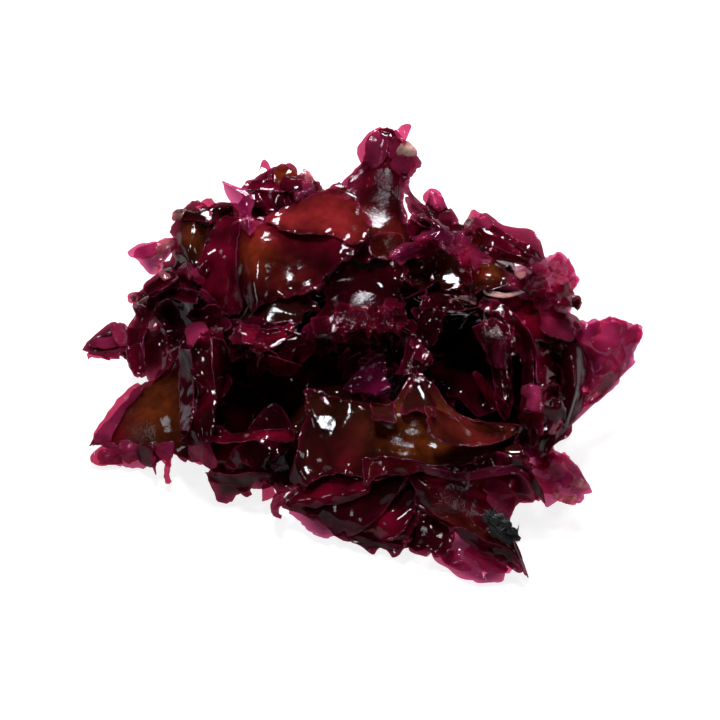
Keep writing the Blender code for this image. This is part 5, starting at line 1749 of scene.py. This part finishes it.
def add_floor(colour, glow):
    """A round pale floor, which glows a little so that it is as bright as a lit table.

    It is rings of points about the middle, whose radius grows by the square, and a face inside them.
    """
    radii = FLOOR_RADIUS * np.linspace(0.02, 1, 24) ** 2
    turns = np.linspace(0, 2 * math.pi, FLOOR_CORNERS, endpoint=False)
    radius, turn = np.meshgrid(radii, turns, indexing="ij")
    points = np.stack(
        [radius * np.cos(turn), radius * np.sin(turn), np.full(radius.shape, FLOOR_TOP)], axis=-1,
    )
    mesh = bpy.data.meshes.new("floor")
    faces = ring_faces(1, *radius.shape).tolist() + [list(range(FLOOR_CORNERS))[::-1]]
    mesh.from_pydata(points.reshape(-1, 3).tolist(), [], faces)
    floor = bpy.data.objects.new("floor", mesh)
    bpy.context.scene.collection.objects.link(floor)
    material = bpy.data.materials.new("floor_paint")
    material.use_nodes = True
    shader = material.node_tree.nodes["Principled BSDF"]
    shader.inputs["Base Color"].default_value = (*colour, 1)
    shader.inputs["Roughness"].default_value = 0.9
    shader.inputs["Specular IOR Level"].default_value = 0.0
    shader.inputs["Emission Color"].default_value = (1, 1, 1, 1)
    tree = Tree(material.node_tree)
    seen = tree.add("ShaderNodeLightPath").outputs["Is Camera Ray"]
    tree.link(tree.map(seen, 0, 1, UNSEEN_GLOW * glow, glow), shader.inputs["Emission Strength"])
    mesh.materials.append(material)


def add_camera(elevation, scale, focal):
    """A long lens at the photograph's angle, aimed so that the heap keeps its place in the frame."""
    camera = bpy.data.cameras.new("camera")
    camera.lens = focal
    camera.clip_end = 20
    distance = PICTURE_SIDE * scale * focal / camera.sensor_width
    towards = Vector(direction((0.0, elevation)))
    upwards = towards.cross(Vector((1, 0, 0)))
    right, up = (scale * pixels for pixels in PICTURE_MIDDLE)
    aim = Vector(CENTRING * MM) + Vector((right, 0, 0)) + upwards * up
    viewer = bpy.data.objects.new("camera", camera)
    viewer.location = aim + towards * distance
    viewer.rotation_euler = (-towards).to_track_quat("-Z", "Y").to_euler()
    bpy.context.scene.collection.objects.link(viewer)
    bpy.context.scene.camera = viewer


class DULSE_PG_sizes(bpy.types.PropertyGroup):
    """Sizes of every frond."""

    cell: FloatProperty(
        name="Cell", description="Side of one cell of a frond's mesh", default=0.0007, min=0.0003,
        unit="LENGTH", precision=5,
    )
    thickness: FloatProperty(
        name="Thickness", description="Thickness of a frond", default=0.0003, min=0.0001, unit="LENGTH",
        precision=5,
    )
    gap: FloatProperty(
        name="Gap", description="Room left between two fronds", default=0.00015, min=0.0, unit="LENGTH",
        precision=5,
    )
    drape: FloatProperty(
        name="Drape", description="How far a frond bridges a step under it", default=0.010, min=0.0,
        unit="LENGTH", precision=5,
    )
    lobe_length: FloatProperty(
        name="Lobe length", description="Distance from lobe to lobe along an outline", default=0.026,
        min=0.005, unit="LENGTH",
    )
    crease_height: FloatProperty(
        name="Crease height", description="Height of the folded creases", default=0.0004, min=0.0,
        unit="LENGTH", precision=5,
    )
    ruffle_height: FloatProperty(
        name="Ruffle height", description="Height of the ruffles along a margin", default=0.0010, min=0.0,
        unit="LENGTH", precision=5,
    )


class DULSE_PG_stage(bpy.types.PropertyGroup):
    """The studio."""

    elevation: FloatProperty(
        name="Camera elevation", description="Angle of the camera above the table",
        default=math.radians(40), subtype="ANGLE",
    )
    focal: FloatProperty(
        name="Focal length", description="Focal length of the lens in millimetres", default=400.0,
        min=20.0,
    )
    scale: FloatProperty(
        name="Pixel size", description="Length at the heap that one pixel shows", default=0.000324,
        min=0.0001, unit="LENGTH", precision=6,
    )
    floor_colour: FloatVectorProperty(
        name="Floor", description="Colour of the floor", default=(0.4, 0.4, 0.4), min=0, max=1, size=3,
        subtype="COLOR",
    )
    floor_glow: FloatProperty(
        name="Floor glow", description="Light that the floor gives off itself", default=0.85, min=0.0,
    )
    key: FloatProperty(
        name="Key light", description="Power of the softbox above and behind", default=9.0, min=0.0,
        unit="POWER",
    )
    fill: FloatProperty(
        name="Fill lights", description="Power of each softbox at the sides", default=0.8, min=0.0,
        unit="POWER",
    )
    room: FloatProperty(
        name="Room light", description="Strength of the even light all round", default=0.02, min=0.0,
    )


def lay_group(fronds, first):
    """Lays a group's fronds in order. Their numbers, from the first one's on, set their seeds."""
    for number, frond in enumerate(fronds, first):
        add_frond(frond, number)
    return {"FINISHED"}


class DULSE_OT_base(bpy.types.Operator):
    """Lay the four flat fronds that carry the heap"""

    bl_idname = "dulse.base_fronds"
    bl_label = "Base Fronds"
    bl_options = {"REGISTER", "UNDO"}

    def execute(self, context):
        HEAP.clear()
        return lay_group(base_fronds(), 0)


class DULSE_OT_under(bpy.types.Operator):
    """Lay the fronds inside the heap"""

    bl_idname = "dulse.under_fronds"
    bl_label = "Under Fronds"
    bl_options = {"REGISTER", "UNDO"}

    def execute(self, context):
        return lay_group(under_fronds(), 4)


class DULSE_OT_back(bpy.types.Operator):
    """Lay the fronds that hang down the back and the sides"""

    bl_idname = "dulse.back_fronds"
    bl_label = "Back Fronds"
    bl_options = {"REGISTER", "UNDO"}

    def execute(self, context):
        return lay_group(back_fronds(), 11)


class DULSE_OT_front(bpy.types.Operator):
    """Lay the lowest fronds at the front"""

    bl_idname = "dulse.front_fronds"
    bl_label = "Front Fronds"
    bl_options = {"REGISTER", "UNDO"}

    def execute(self, context):
        return lay_group(front_fronds(), 17)


class DULSE_OT_left(bpy.types.Operator):
    """Lay the fronds of the left flank"""

    bl_idname = "dulse.left_fronds"
    bl_label = "Left Fronds"
    bl_options = {"REGISTER", "UNDO"}

    def execute(self, context):
        return lay_group(left_fronds(), 24)


class DULSE_OT_right(bpy.types.Operator):
    """Lay the fronds of the right flank"""

    bl_idname = "dulse.right_fronds"
    bl_label = "Right Fronds"
    bl_options = {"REGISTER", "UNDO"}

    def execute(self, context):
        return lay_group(right_fronds(), 35)


class DULSE_OT_crown(bpy.types.Operator):
    """Lay the fronds of the crown and the middle"""

    bl_idname = "dulse.crown_fronds"
    bl_label = "Crown Fronds"
    bl_options = {"REGISTER", "UNDO"}

    def execute(self, context):
        return lay_group(crown_fronds(), 43)


class DULSE_OT_holdfast(bpy.types.Operator):
    """Set the holdfast down on the fronds at the front"""

    bl_idname = "dulse.holdfast"
    bl_label = "Holdfast"
    bl_options = {"REGISTER", "UNDO"}

    def execute(self, context):
        add_holdfast()
        return {"FINISHED"}


class DULSE_OT_stage(bpy.types.Operator):
    """Build the floor, the lights and the camera"""

    bl_idname = "dulse.stage"
    bl_label = "Stage"
    bl_options = {"REGISTER", "UNDO"}

    def execute(self, context):
        stage = context.scene.dulse_stage
        scene = context.scene
        scene.view_settings.view_transform = "Standard"
        add_camera(math.degrees(stage.elevation), stage.scale, stage.focal)
        add_floor(stage.floor_colour, stage.floor_glow)
        for name, (place, size, power, share) in SOFTBOXES.items():
            add_softbox(name, place, size, share * getattr(stage, power))
        world = bpy.data.worlds.new("room")
        world.use_nodes = True
        backdrop = world.node_tree.nodes["Background"]
        backdrop.inputs["Color"].default_value = (1, 1, 1, 1)
        backdrop.inputs["Strength"].default_value = stage.room
        scene.world = world
        return {"FINISHED"}


OPERATORS = (
    DULSE_OT_stage,
    DULSE_OT_base,
    DULSE_OT_under,
    DULSE_OT_back,
    DULSE_OT_front,
    DULSE_OT_left,
    DULSE_OT_right,
    DULSE_OT_crown,
    DULSE_OT_holdfast,
)


class DULSE_PT_panel(bpy.types.Panel):
    """The steps of the heap, in order"""

    bl_idname = "DULSE_PT_panel"
    bl_label = "Dulse Heap"
    bl_space_type = "VIEW_3D"
    bl_region_type = "UI"
    bl_category = "Dulse"

    def draw(self, context):
        for operator in OPERATORS:
            self.layout.operator(operator.bl_idname)
        for settings in (context.scene.dulse_sizes, context.scene.dulse_stage):
            box = self.layout.box()
            for name in settings.__annotations__:
                box.prop(settings, name)


CLASSES = (DULSE_PG_sizes, DULSE_PG_stage, *OPERATORS, DULSE_PT_panel)


def register():
    for each in CLASSES:
        bpy.utils.register_class(each)
    bpy.types.Scene.dulse_sizes = PointerProperty(type=DULSE_PG_sizes)
    bpy.types.Scene.dulse_stage = PointerProperty(type=DULSE_PG_stage)


def unregister():
    del bpy.types.Scene.dulse_sizes
    del bpy.types.Scene.dulse_stage
    for each in reversed(CLASSES):
        bpy.utils.unregister_class(each)


def main():
    register()
    for operator in OPERATORS:
        group, name = operator.bl_idname.split(".")
        getattr(getattr(bpy.ops, group), name)()


if __name__ == "__main__":
    main()
